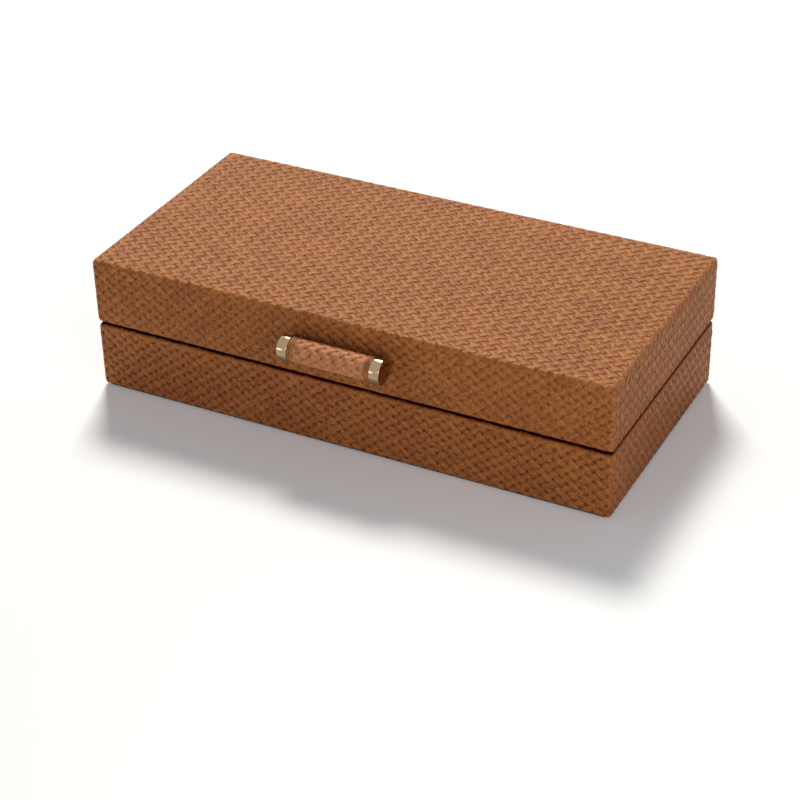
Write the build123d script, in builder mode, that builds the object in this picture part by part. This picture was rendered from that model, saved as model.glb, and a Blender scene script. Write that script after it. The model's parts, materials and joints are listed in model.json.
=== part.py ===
from build123d import *
from math import radians, tan
import os

# A lidded jewelry case of wooden boards, covered in woven leather and lined with suede.
# Millimetres. +X runs along the case to its right, -Y is the front, +Z is up.
# The origin is the centre of the underside, on the surface that the case stands on.

# Outer shell
CASE_LENGTH = 300.0
CASE_DEPTH = 144.6
BASE_HEIGHT = 38.2
LID_HEIGHT = 37.6
RIM_GAP = 1.0
LEATHER_T = 1.4
CORNER_R = 2.4
LID_EDGE_R = 1.8
RIM_EDGE_R = 2.2
BOTTOM_EDGE_R = 2.3
TURN_UNDER = 14.0

# Boards
WALL_T = 6.0
PANEL_T = 5.0
RABBET_DEPTH = 3.0
FELT_T = 1.2
FELT_INSET = 2.0

# Lining of the base, whose upper part stands above the rim and enters the lid
LINER_T = 2.4
LIP_HEIGHT = 8.0
LIP_CLEAR = 0.8
LIP_EDGE_R = 1.0
LID_REST_GAP = 0.3
FLOOR_LINING_T = 2.0

# Trays and ring rolls
DIVIDER_T = 3.0
DIVIDER_HEIGHT = 25.0
RING_BAY_LENGTH = 96.0
LONG_TRAY_DEPTH = 70.0
SMALL_TRAYS = 3
RING_ROLLS = 5
ROLL_GAP = 0.3
ROLL_END_R = 5.0
ROLL_SEAT_SHARE = 0.8
ROLL_END_CLEAR = 0.4

# Mirror in the lid
LINING_BOARD_T = 2.5
MIRROR_LENGTH = 236.0
MIRROR_DEPTH = 86.0
MIRROR_T = 3.0
MIRROR_CLEAR = 0.3
FRAME_COVER_T = 2.4
FRAME_OVERLAP = 3.5
FRAME_EDGE_R = 1.6

# Closure magnets, bars let into the front rims
MAGNET_LENGTH = 12.0
MAGNET_WIDTH = 3.0
MAGNET_T = 3.0
MAGNET_X = 62.0
MAGNET_CLEAR = 0.1

# Stop hinges
HINGE_INSET = 55.0
HINGE_LENGTH = 34.0
LEAF_T = 1.2
LEAF_INSET = 0.6
KNUCKLE_R = 2.3
KNUCKLE_GAP = 0.3
PIN_R = 1.0
PIN_CLEAR = 0.05
PIN_HEAD_T = 0.8
PIN_HEAD_R = 1.7
HINGE_STANDOFF = 0.5
OPEN_ANGLE = 100.0
STOP_SPARE_ANGLE = 1.5
STOP_REACH = 5.6
STOP_T = 1.2
MORTISE_CLEAR = 0.2

# Hinge screws
SCREW_SPACING = 22.0
SCREW_R = 1.0
SCREW_HEAD_R = 1.9
SCREW_SINK_ANGLE = 90.0
SCREW_LENGTH = 9.0
SCREW_CLEAR = 0.05

# Handle on the front of the lid
HANDLE_LENGTH = 59.0
HANDLE_STANDOFF = 9.0
HANDLE_RISE = 20.2
CORE_R = 4.0
CORE_CLEAR = 0.05
GRIP_R = 6.5
COLLAR_R = 6.7
COLLAR_WIDTH = 3.0
CAP_R = 7.0
CAP_LENGTH = 6.0
CAP_EDGE_R = 0.8
CAP_WALL = 2.2
POST_R = 2.2
POST_X = 17.8
POST_SEAT = 1.0
SPIGOT_R = 1.5
SPIGOT_LENGTH = 4.0
HANDLE_SCREW_R = 1.5
HANDLE_SCREW_HEAD_R = 3.2
HANDLE_SCREW_HEAD_T = 2.0
HANDLE_SCREW_BITE = 3.2

# Levels, from the surface that the case stands on
BASE_BOTTOM = FELT_T
BASE_RIM = BASE_BOTTOM + BASE_HEIGHT
LID_RIM = BASE_RIM + RIM_GAP
LID_TOP = LID_RIM + LID_HEIGHT
FLOOR_BOTTOM = BASE_BOTTOM + LEATHER_T
FLOOR_TOP = FLOOR_BOTTOM + PANEL_T
BASE_WALL_TOP = BASE_RIM - LEATHER_T
LID_WALL_BOTTOM = LID_RIM + LEATHER_T
LID_PANEL_TOP = LID_TOP - LEATHER_T
LID_PANEL_BOTTOM = LID_PANEL_TOP - PANEL_T
LIP_TOP = BASE_RIM + LIP_HEIGHT
TRAY_FLOOR = FLOOR_TOP + FLOOR_LINING_T

# Plan sizes
BOARD_LENGTH = CASE_LENGTH - 2 * LEATHER_T
BOARD_DEPTH = CASE_DEPTH - 2 * LEATHER_T
LID_WALL_T = WALL_T - LIP_CLEAR
LID_LINER_T = LINER_T + LIP_CLEAR
BASE_INNER_LENGTH = BOARD_LENGTH - 2 * WALL_T
BASE_INNER_DEPTH = BOARD_DEPTH - 2 * WALL_T
LID_INNER_LENGTH = BOARD_LENGTH - 2 * LID_WALL_T
LID_INNER_DEPTH = BOARD_DEPTH - 2 * LID_WALL_T
TRAY_LENGTH = BASE_INNER_LENGTH - 2 * LINER_T
TRAY_DEPTH = BASE_INNER_DEPTH - 2 * LINER_T
RECESS_LENGTH = LID_INNER_LENGTH - 2 * LID_LINER_T
RECESS_DEPTH = LID_INNER_DEPTH - 2 * LID_LINER_T

# Hinge axis, behind the back face at the middle of the rim gap
HINGE_X = CASE_LENGTH / 2 - HINGE_INSET
HINGE_Y =CASE_DEPTH / 2 + HINGE_STANDOFF + KNUCKLE_R
HINGE_Z = BASE_RIM + RIM_GAP / 2

# Handle axis, in front of the lid
HANDLE_Y = -CASE_DEPTH / 2 - HANDLE_STANDOFF
HANDLE_Z = LID_RIM + HANDLE_RISE
POST_SPOTS = [(-POST_X, 0), (POST_X, 0)]


def save(part, name):
    """Label a finished piece and write it as its own file."""
    part.label = name
    export_step(part, f"parts/{name}.step")


def limited(radius, room):
    """A fillet radius that stays inside the room that its wall leaves."""
    return min(radius, room - 0.05)


os.makedirs("parts", exist_ok=True)


# Leather covers

def turned_cover(bottom_z, height, low_r, high_r):
    """Outer block of a cover, with its upright corners and its two rims of edges rounded."""
    with BuildPart() as block:
        with BuildSketch(Plane.XY.offset(bottom_z)):
            RectangleRounded(CASE_LENGTH, CASE_DEPTH, CORNER_R)
        extrude(amount=height)
        fillet(block.faces().sort_by(Axis.Z)[0].edges(), limited(low_r, CORNER_R))
        fillet(block.faces().sort_by(Axis.Z)[-1].edges(), limited(high_r, CORNER_R))
    return block.part


def hinge_mortises(bottom_z, height):
    """Cut-outs in a rim's leather, where the hinge leaves lie on the board."""
    with BuildPart() as cuts:
        with BuildSketch(Plane.XY.offset(bottom_z)):
            with Locations((-HINGE_X, CASE_DEPTH / 2), (HINGE_X, CASE_DEPTH / 2)):
                Rectangle(HINGE_LENGTH + 2 * MORTISE_CLEAR, 2 * (LEATHER_T + WALL_T))
        extrude(amount=height)
    return cuts.part


base_block = turned_cover(BASE_BOTTOM, BASE_HEIGHT, BOTTOM_EDGE_R, RIM_EDGE_R)
base_mortises = hinge_mortises(BASE_WALL_TOP, LEATHER_T)
with BuildPart() as base_leather_wrap:
    add(base_block)
    with BuildSketch(Plane.XY.offset(FLOOR_BOTTOM)):
        Rectangle(BOARD_LENGTH, BOARD_DEPTH)
    extrude(amount=BASE_WALL_TOP - FLOOR_BOTTOM, mode=Mode.SUBTRACT)
    with BuildSketch(Plane.XY.offset(BASE_WALL_TOP)):
        Rectangle(BASE_INNER_LENGTH, BASE_INNER_DEPTH)
    extrude(amount=LEATHER_T, mode=Mode.SUBTRACT)
    with BuildSketch(Plane.XY.offset(BASE_BOTTOM)):
        Rectangle(BOARD_LENGTH - 2 * TURN_UNDER, BOARD_DEPTH - 2 * TURN_UNDER)
    extrude(amount=LEATHER_T, mode=Mode.SUBTRACT)
    add(base_mortises, mode=Mode.SUBTRACT)
save(base_leather_wrap.part, "base_leather_wrap")

lid_block = turned_cover(LID_RIM, LID_HEIGHT, RIM_EDGE_R, LID_EDGE_R)
lid_mortises = hinge_mortises(LID_RIM, LEATHER_T)
with BuildPart() as lid_leather_wrap:
    add(lid_block)
    with BuildSketch(Plane.XY.offset(LID_WALL_BOTTOM)):
        Rectangle(BOARD_LENGTH, BOARD_DEPTH)
    extrude(amount=LID_PANEL_TOP - LID_WALL_BOTTOM, mode=Mode.SUBTRACT)
    with BuildSketch(Plane.XY.offset(LID_RIM)):
        Rectangle(LID_INNER_LENGTH, LID_INNER_DEPTH)
    extrude(amount=LEATHER_T, mode=Mode.SUBTRACT)
    add(lid_mortises, mode=Mode.SUBTRACT)
    with BuildSketch(Plane.XZ.offset(CASE_DEPTH / 2)):
        with Locations((-POST_X, HANDLE_Z), (POST_X, HANDLE_Z)):
            Circle(HANDLE_SCREW_R + SCREW_CLEAR)
    extrude(amount=-LEATHER_T, mode=Mode.SUBTRACT)
save(lid_leather_wrap.part, "lid_leather_wrap")


# Boards of the base and of the lid

def long_wall(side, wall_t, bottom_z, height):
    """Front (side -1) or back (side 1) wall, rabbeted at both ends for the side walls."""
    centre_y = side * (BOARD_DEPTH - wall_t) / 2
    rabbet_y = side * (BOARD_DEPTH / 2 - wall_t + RABBET_DEPTH / 2)
    rabbet_x = (BOARD_LENGTH - wall_t) / 2
    with BuildPart() as wall:
        with BuildSketch(Plane.XY.offset(bottom_z)):
            with Locations((0, centre_y)):
                Rectangle(BOARD_LENGTH, wall_t)
            with Locations((-rabbet_x, rabbet_y), (rabbet_x, rabbet_y)):
                Rectangle(wall_t, RABBET_DEPTH, mode=Mode.SUBTRACT)
        extrude(amount=height)
    return wall.part


def side_wall(side, wall_t, bottom_z, height):
    """Left (side -1) or right (side 1) wall, whose ends sit in the rabbets."""
    with BuildPart() as wall:
        with BuildSketch(Plane.XY.offset(bottom_z)):
            with Locations((side * (BOARD_LENGTH - wall_t) / 2, 0)):
                Rectangle(wall_t, BOARD_DEPTH - 2 * (wall_t - RABBET_DEPTH))
        extrude(amount=height)
    return wall.part


def magnet_bars(bottom_z, wall_t, clear):
    """The pair of bar magnets in a front rim, or with a clearance the pockets that hold them."""
    with BuildPart() as bars:
        with BuildSketch(Plane.XY.offset(bottom_z)):
            centre_y = -(BOARD_DEPTH - wall_t) / 2
            with Locations((-MAGNET_X, centre_y), (MAGNET_X, centre_y)):
                Rectangle(MAGNET_LENGTH + 2 * clear, MAGNET_WIDTH + 2 * clear)
        extrude(amount=MAGNET_T)
    return bars.part


def screw_spots():
    """The four places along X of the hinge screws."""
    pair = (-SCREW_SPACING / 2, SCREW_SPACING / 2)
    return [hinge_x + spot for hinge_x in (-HINGE_X, HINGE_X) for spot in pair]


def leaf_screw_y(wall_t):
    """The hinge screws go in along the middle of the back wall."""
    return (BOARD_DEPTH - wall_t) / 2


def screw_holes(wall_t, top_z, height):
    """Pilot holes for the hinge screws in a back wall."""
    with BuildPart() as holes:
        with BuildSketch(Plane.XY.offset(top_z)):
            with Locations([(x, leaf_screw_y(wall_t)) for x in screw_spots()]):
                Circle(SCREW_R + SCREW_CLEAR)
        extrude(amount=height)
    return holes.part


BASE_WALL_HEIGHT = BASE_WALL_TOP - FLOOR_TOP
LID_WALL_HEIGHT = LID_PANEL_BOTTOM - LID_WALL_BOTTOM

with BuildPart() as base_floor_panel:
    with BuildSketch(Plane.XY.offset(FLOOR_BOTTOM)):
        Rectangle(BOARD_LENGTH, BOARD_DEPTH)
    extrude(amount=PANEL_T)
save(base_floor_panel.part, "base_floor_panel")

base_front_board = long_wall(-1, WALL_T, FLOOR_TOP, BASE_WALL_HEIGHT)
base_pockets = magnet_bars(BASE_WALL_TOP - MAGNET_T, WALL_T, MAGNET_CLEAR)
with BuildPart() as base_front_wall:
    add(base_front_board)
    add(base_pockets, mode=Mode.SUBTRACT)
save(base_front_wall.part, "base_front_wall")

base_back_board = long_wall(1, WALL_T, FLOOR_TOP, BASE_WALL_HEIGHT)
base_pilots = screw_holes(WALL_T, BASE_WALL_TOP, -SCREW_LENGTH)
with BuildPart() as base_back_wall:
    add(base_back_board)
    add(base_pilots, mode=Mode.SUBTRACT)
save(base_back_wall.part, "base_back_wall")

with BuildPart() as lid_top_panel:
    with BuildSketch(Plane.XY.offset(LID_PANEL_BOTTOM)):
        Rectangle(BOARD_LENGTH, BOARD_DEPTH)
    extrude(amount=PANEL_T)
save(lid_top_panel.part, "lid_top_panel")

lid_front_board = long_wall(-1, LID_WALL_T, LID_WALL_BOTTOM, LID_WALL_HEIGHT)
lid_pockets = magnet_bars(LID_WALL_BOTTOM, LID_WALL_T, MAGNET_CLEAR)
lid_front_inside = Plane(origin=(0, -LID_INNER_DEPTH / 2, HANDLE_Z), x_dir=(1, 0, 0), z_dir=(0, 1, 0))
with BuildPart() as lid_front_wall:
    add(lid_front_board)
    add(lid_pockets, mode=Mode.SUBTRACT)
    with Locations(lid_front_inside):
        with Locations(POST_SPOTS):
            CounterBoreHole(
                HANDLE_SCREW_R + SCREW_CLEAR,
                HANDLE_SCREW_HEAD_R + SCREW_CLEAR,
                HANDLE_SCREW_HEAD_T,
                LID_WALL_T,
            )
save(lid_front_wall.part, "lid_front_wall")

lid_back_board = long_wall(1, LID_WALL_T, LID_WALL_BOTTOM, LID_WALL_HEIGHT)
lid_pilots = screw_holes(LID_WALL_T, LID_WALL_BOTTOM, SCREW_LENGTH)
with BuildPart() as lid_back_wall:
    add(lid_back_board)
    add(lid_pilots, mode=Mode.SUBTRACT)
save(lid_back_wall.part, "lid_back_wall")

for side, hand in ((-1, "left"), (1, "right")):
    save(side_wall(side, WALL_T, FLOOR_TOP, BASE_WALL_HEIGHT), f"base_{hand}_wall")
    save(side_wall(side, LID_WALL_T, LID_WALL_BOTTOM, LID_WALL_HEIGHT), f"lid_{hand}_wall")

with BuildPart() as base_infill_card:
    with BuildSketch(Plane.XY.offset(BASE_BOTTOM)):
        Rectangle(BOARD_LENGTH - 2 * TURN_UNDER, BOARD_DEPTH - 2 * TURN_UNDER)
    extrude(amount=LEATHER_T)
save(base_infill_card.part, "base_infill_card")

with BuildPart() as base_felt_pad:
    with BuildSketch():
        RectangleRounded(CASE_LENGTH - 2 * FELT_INSET, CASE_DEPTH - 2 * FELT_INSET, CORNER_R)
    extrude(amount=FELT_T)
save(base_felt_pad.part, "base_felt_pad")


# Suede-covered lining boards. The base's stand above its rim as a lip that the lid closes over.

LID_LINER_BOTTOM = LIP_TOP + LID_REST_GAP


def base_liner(centre_x, centre_y, length, depth, along):
    """A lining board of the base, with both upper edges of its lip rounded."""
    with BuildPart() as board:
        with BuildSketch(Plane.XY.offset(FLOOR_TOP)):
            with Locations((centre_x, centre_y)):
                Rectangle(length, depth)
        extrude(amount=LIP_TOP - FLOOR_TOP)
        lip_edges = board.faces().sort_by(Axis.Z)[-1].edges().filter_by(along)
        fillet(lip_edges, limited(LIP_EDGE_R, LINER_T / 2))
    return board.part


def lid_liner(centre_x, centre_y, length, depth, along, inward):
    """A lining board of the lid, with the lower edge that faces the inside rounded."""
    with BuildPart() as board:
        with BuildSketch(Plane.XY.offset(LID_LINER_BOTTOM)):
            with Locations((centre_x, centre_y)):
                Rectangle(length, depth)
        extrude(amount=LID_PANEL_BOTTOM - LID_LINER_BOTTOM)
        low_edges = board.faces().sort_by(Axis.Z)[0].edges().filter_by(along)
        fillet(low_edges.sort_by(inward)[-1], limited(LIP_EDGE_R, LID_LINER_T))
    return board.part


for side, place in ((-1, "front"), (1, "back")):
    inward = Axis((0, 0, 0), (0, -side, 0))
    base_y = side * (BASE_INNER_DEPTH - LINER_T) / 2
    lid_y = side * (LID_INNER_DEPTH - LID_LINER_T) / 2
    save(base_liner(0, base_y, BASE_INNER_LENGTH, LINER_T, Axis.X), f"base_liner_{place}")
    save(lid_liner(0, lid_y, LID_INNER_LENGTH, LID_LINER_T, Axis.X, inward), f"lid_liner_{place}")

for side, place in ((-1, "left"), (1, "right")):
    inward = Axis((0, 0, 0), (-side, 0, 0))
    base_x = side * (BASE_INNER_LENGTH - LINER_T) / 2
    lid_x = side * (LID_INNER_LENGTH - LID_LINER_T) / 2
    save(base_liner(base_x, 0, LINER_T, TRAY_DEPTH, Axis.Y), f"base_liner_{place}")
    save(lid_liner(lid_x, 0, LID_LINER_T, RECESS_DEPTH, Axis.Y, inward), f"lid_liner_{place}")

with BuildPart() as floor_lining:
    with BuildSketch(Plane.XY.offset(FLOOR_TOP)):
        Rectangle(TRAY_LENGTH, TRAY_DEPTH)
    extrude(amount=FLOOR_LINING_T)
save(floor_lining.part, "floor_lining")


# Dividers, with rounded upper edges

DIVIDER_TOP = TRAY_FLOOR + DIVIDER_HEIGHT
TRAY_LEFT = -TRAY_LENGTH / 2
TRAY_RIGHT = TRAY_LENGTH / 2
TRAY_FRONT = -TRAY_DEPTH / 2
TRAY_BACK = TRAY_DEPTH / 2
BAY_DIVIDER_X = TRAY_LEFT + RING_BAY_LENGTH + DIVIDER_T / 2
LONG_DIVIDER_Y = TRAY_BACK - LONG_TRAY_DEPTH - DIVIDER_T / 2
SMALL_BAY_LEFT = BAY_DIVIDER_X + DIVIDER_T / 2
SMALL_TRAY_DEPTH = LONG_DIVIDER_Y - DIVIDER_T / 2 - TRAY_FRONT
SMALL_TRAY_LENGTH = (TRAY_RIGHT - SMALL_BAY_LEFT - (SMALL_TRAYS - 1) * DIVIDER_T) / SMALL_TRAYS


def divider(x_min, x_max, y_min, y_max, along):
    """A divider on the lined floor, with both long upper edges rounded."""
    with BuildPart() as board:
        with BuildSketch(Plane.XY.offset(TRAY_FLOOR)):
            with Locations(((x_min + x_max) / 2, (y_min + y_max) / 2)):
                Rectangle(x_max - x_min, y_max - y_min)
        extrude(amount=DIVIDER_HEIGHT)
        upper = board.faces().sort_by(Axis.Z)[-1].edges().filter_by(along)
        fillet(upper, limited(LIP_EDGE_R, DIVIDER_T / 2))
    return board.part


save(
    divider(BAY_DIVIDER_X - DIVIDER_T / 2, SMALL_BAY_LEFT, TRAY_FRONT, TRAY_BACK, Axis.Y),
    "ring_bay_divider",
)
save(
    divider(
        SMALL_BAY_LEFT, TRAY_RIGHT, LONG_DIVIDER_Y - DIVIDER_T / 2, LONG_DIVIDER_Y + DIVIDER_T / 2, Axis.X
    ),
    "long_tray_divider",
)
for number in range(1, SMALL_TRAYS):
    small_left = SMALL_BAY_LEFT + number * SMALL_TRAY_LENGTH + (number - 1) * DIVIDER_T
    save(
        divider(small_left, small_left + DIVIDER_T, TRAY_FRONT, LONG_DIVIDER_Y - DIVIDER_T / 2, Axis.Y),
        f"small_tray_divider_{number}",
    )


# Ring rolls: padded rolls side by side, with rounded ends and a flattened seat

ROLL_PITCH = TRAY_DEPTH / RING_ROLLS
ROLL_R = (ROLL_PITCH - ROLL_GAP) / 2
ROLL_HALF = RING_BAY_LENGTH / 2 - ROLL_END_CLEAR
ROLL_CENTRE_X = TRAY_LEFT + RING_BAY_LENGTH / 2
ROLL_AXIS_Z = TRAY_FLOOR + ROLL_SEAT_SHARE * ROLL_R

for number in range(RING_ROLLS):
    roll_y = TRAY_FRONT + (number + 0.5) * ROLL_PITCH
    roll_plane = Plane(origin=(ROLL_CENTRE_X, roll_y, ROLL_AXIS_Z), x_dir=(1, 0, 0), z_dir=(0, -1, 0))
    with BuildPart() as ring_roll:
        with BuildSketch(roll_plane):
            with BuildLine():
                crown_half = ROLL_HALF - ROLL_END_R
                shoulder_r = ROLL_R - ROLL_END_R
                Line((-ROLL_HALF, 0), (-ROLL_HALF, shoulder_r))
                RadiusArc((-ROLL_HALF, shoulder_r), (-crown_half, ROLL_R), ROLL_END_R)
                Line((-crown_half, ROLL_R), (crown_half, ROLL_R))
                RadiusArc((crown_half, ROLL_R), (ROLL_HALF, shoulder_r), ROLL_END_R)
                Polyline((ROLL_HALF, shoulder_r), (ROLL_HALF, 0), (-ROLL_HALF, 0))
            make_face()
        revolve(axis=Axis((ROLL_CENTRE_X, roll_y, ROLL_AXIS_Z), (1, 0, 0)))
        split(bisect_by=Plane.XY.offset(TRAY_FLOOR), keep=Keep.TOP)
    save(ring_roll.part, f"ring_roll_{number + 1}")


# Mirror in the lid, held to its board by a suede-covered frame

LINING_BOARD_BOTTOM = LID_PANEL_BOTTOM - LINING_BOARD_T
MIRROR_BOTTOM = LINING_BOARD_BOTTOM - MIRROR_T
FRAME_BOTTOM = MIRROR_BOTTOM - FRAME_COVER_T

with BuildPart() as lid_lining_board:
    with BuildSketch(Plane.XY.offset(LINING_BOARD_BOTTOM)):
        Rectangle(RECESS_LENGTH, RECESS_DEPTH)
    extrude(amount=LINING_BOARD_T)
save(lid_lining_board.part, "lid_lining_board")

with BuildPart() as mirror_glass:
    with BuildSketch(Plane.XY.offset(MIRROR_BOTTOM)):
        Rectangle(MIRROR_LENGTH, MIRROR_DEPTH)
    extrude(amount=MIRROR_T)
save(mirror_glass.part, "mirror_glass")

with BuildPart() as mirror_frame:
    with BuildSketch(Plane.XY.offset(FRAME_BOTTOM)):
        Rectangle(RECESS_LENGTH, RECESS_DEPTH)
        Rectangle(
            MIRROR_LENGTH - 2 * FRAME_OVERLAP,
            MIRROR_DEPTH - 2 * FRAME_OVERLAP,
            mode=Mode.SUBTRACT,
        )
    extrude(amount=LINING_BOARD_BOTTOM - FRAME_BOTTOM)
    window = mirror_frame.faces().sort_by(Axis.Z)[0].inner_wires()[0].edges()
    fillet(window, limited(FRAME_EDGE_R, FRAME_COVER_T))
    with BuildSketch(Plane.XY.offset(MIRROR_BOTTOM)):
        Rectangle(MIRROR_LENGTH + 2 * MIRROR_CLEAR, MIRROR_DEPTH + 2 * MIRROR_CLEAR)
    extrude(amount=MIRROR_T, mode=Mode.SUBTRACT)
save(mirror_frame.part, "mirror_frame")


# Closure magnets

save(magnet_bars(BASE_WALL_TOP - MAGNET_T, WALL_T, 0), "base_magnets")
save(magnet_bars(LID_WALL_BOTTOM, LID_WALL_T, 0), "lid_magnets")


# Stop hinges. Three knuckles share a pin: the base leaf has the outer two, the lid leaf the
# middle one. A stop bar behind the knuckles of each leaf meets the other's when the lid is open.

KNUCKLE_LENGTH = (HINGE_LENGTH - 2 * KNUCKLE_GAP) / 3
OUTER_KNUCKLE_X = KNUCKLE_LENGTH + KNUCKLE_GAP
LEAF_FRONT_Y = BASE_INNER_DEPTH / 2 + LEAF_INSET
LEAF_BACK_Y = HINGE_Y - KNUCKLE_R - KNUCKLE_GAP
STOP_CLEAR_R = KNUCKLE_R + KNUCKLE_GAP
STOP_ANGLE = (OPEN_ANGLE + STOP_SPARE_ANGLE) / 2


def screw_seat_z(side):
    """Height of the leaf face that the screw heads are sunk into, which faces the rim gap."""
    return BASE_WALL_TOP + LEAF_T if side < 0 else LID_WALL_BOTTOM - LEAF_T


def leaf(hinge_x, side):
    """A hinge leaf: the base's for side -1, the lid's for side 1."""
    plate_low = BASE_WALL_TOP if side < 0 else LID_WALL_BOTTOM - LEAF_T
    wall_t = WALL_T if side < 0 else LID_WALL_T
    own_knuckles = [-OUTER_KNUCKLE_X, OUTER_KNUCKLE_X] if side < 0 else [0.0]
    axle = Plane(origin=(hinge_x, HINGE_Y, HINGE_Z), x_dir=(0, 1, 0), z_dir=(1, 0, 0))
    stop_centre_r = (STOP_CLEAR_R + STOP_REACH) / 2
    with BuildPart() as plate:
        with BuildSketch(Plane.XY.offset(plate_low)):
            with Locations((hinge_x, (LEAF_FRONT_Y + LEAF_BACK_Y) / 2)):
                Rectangle(HINGE_LENGTH, LEAF_BACK_Y - LEAF_FRONT_Y)
            with Locations([(hinge_x + x, (LEAF_BACK_Y + HINGE_Y) / 2) for x in own_knuckles]):
                Rectangle(KNUCKLE_LENGTH, HINGE_Y - LEAF_BACK_Y)
        extrude(amount=LEAF_T)
        for x in own_knuckles:
            with BuildSketch(axle.offset(x - KNUCKLE_LENGTH / 2)):
                Circle(KNUCKLE_R)
                with Locations(Rotation(0, 0, side * STOP_ANGLE)):
                    with Locations((STOP_REACH / 2, side * STOP_T / 2)):
                        Rectangle(STOP_REACH, STOP_T)
            extrude(amount=KNUCKLE_LENGTH)
        with BuildSketch(axle.offset(-HINGE_LENGTH / 2)):
            with Locations(Rotation(0, 0, side * STOP_ANGLE)):
                with Locations((stop_centre_r, side * STOP_T / 2)):
                    Rectangle(STOP_REACH - STOP_CLEAR_R, STOP_T)
        extrude(amount=HINGE_LENGTH)
        with BuildSketch(axle.offset(-HINGE_LENGTH / 2)):
            Circle(PIN_R + PIN_CLEAR)
        extrude(amount=HINGE_LENGTH, mode=Mode.SUBTRACT)
        seat = (hinge_x, leaf_screw_y(wall_t), screw_seat_z(side))
        with Locations(Plane(origin=seat, x_dir=(1, 0, 0), z_dir=(0, 0, -side))):
            with Locations((-SCREW_SPACING / 2, 0), (SCREW_SPACING / 2, 0)):
                CounterSinkHole(
                    SCREW_R + SCREW_CLEAR, SCREW_HEAD_R + SCREW_CLEAR, LEAF_T, SCREW_SINK_ANGLE
                )
    return plate.part


def leaf_screws(side):
    """The four countersunk screws of the base's leaves (side -1) or the lid's (side 1)."""
    screw_y = leaf_screw_y(WALL_T if side < 0 else LID_WALL_T)
    seat_z = screw_seat_z(side)
    head_height = (SCREW_HEAD_R - SCREW_R) / tan(radians(SCREW_SINK_ANGLE / 2))
    with BuildPart() as screws:
        for x in screw_spots():
            half_section = Plane(origin=(x, screw_y, seat_z), x_dir=(1, 0, 0), z_dir=(0, -side, 0))
            with BuildSketch(half_section):
                with BuildLine():
                    Polyline(
                        (0, 0),
                        (SCREW_HEAD_R, 0),
                        (SCREW_R, head_height),
                        (SCREW_R, SCREW_LENGTH),
                        (0, SCREW_LENGTH),
                        (0, 0),
                    )
                make_face()
            revolve(axis=Axis((x, screw_y, seat_z), (0, 0, 1)))
    return screws.part


for side, hand in ((-1, "left"), (1, "right")):
    hinge_x = side * HINGE_X
    save(leaf(hinge_x, -1), f"hinge_base_leaf_{hand}")
    save(leaf(hinge_x, 1), f"hinge_lid_leaf_{hand}")
    pin_plane = Plane(origin=(hinge_x, HINGE_Y, HINGE_Z), x_dir=(0, 1, 0), z_dir=(1, 0, 0))
    with BuildPart() as hinge_pin:
        with BuildSketch(pin_plane.offset(-HINGE_LENGTH / 2 - PIN_HEAD_T)):
            Circle(PIN_R)
        extrude(amount=HINGE_LENGTH + 2 * PIN_HEAD_T)
        with BuildSketch(
            pin_plane.offset(-HINGE_LENGTH / 2 - PIN_HEAD_T), pin_plane.offset(HINGE_LENGTH / 2)
        ):
            Circle(PIN_HEAD_R)
        extrude(amount=PIN_HEAD_T)
    save(hinge_pin.part, f"hinge_pin_{hand}")
save(leaf_screws(-1), "hinge_base_screws")
save(leaf_screws(1), "hinge_lid_screws")


# Handle: a leather-covered bar with metal end caps, on two posts

CORE_HALF = HANDLE_LENGTH / 2 - CAP_WALL
CAP_INNER_X = HANDLE_LENGTH / 2 - CAP_LENGTH
COLLAR_INNER_X = CAP_INNER_X - COLLAR_WIDTH
BAR_PLANE = Plane(origin=(0, HANDLE_Y, HANDLE_Z), x_dir=(0, 1, 0), z_dir=(1, 0, 0))
POST_END_Y = HANDLE_Y + CORE_R - POST_SEAT
POST_PLANE = Plane(origin=(0, POST_END_Y, HANDLE_Z), x_dir=(1, 0, 0), z_dir=(0, 1, 0))
POST_LENGTH = -CASE_DEPTH / 2 - POST_END_Y


def post_cuts(radius, length):
    """Round cuts along Y at both posts, from the posts' front ends towards the lid."""
    with BuildPart() as cuts:
        with BuildSketch(POST_PLANE):
            with Locations(POST_SPOTS):
                Circle(radius)
        extrude(amount=length)
    return cuts.part


post_sockets = post_cuts(POST_R + CORE_CLEAR, POST_LENGTH)
spigot_sockets = post_cuts(SPIGOT_R + CORE_CLEAR, -SPIGOT_LENGTH)

with BuildPart() as handle_core:
    with BuildSketch(BAR_PLANE.offset(-CORE_HALF)):
        Circle(CORE_R)
    extrude(amount=2 * CORE_HALF)
    add(post_sockets, mode=Mode.SUBTRACT)
    add(spigot_sockets, mode=Mode.SUBTRACT)
save(handle_core.part, "handle_core")

with BuildPart() as handle_leather_grip:
    with BuildSketch(BAR_PLANE.offset(-COLLAR_INNER_X)):
        Circle(GRIP_R)
        Circle(CORE_R, mode=Mode.SUBTRACT)
    extrude(amount=2 * COLLAR_INNER_X)
    add(post_sockets, mode=Mode.SUBTRACT)
save(handle_leather_grip.part, "handle_leather_grip")

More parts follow.
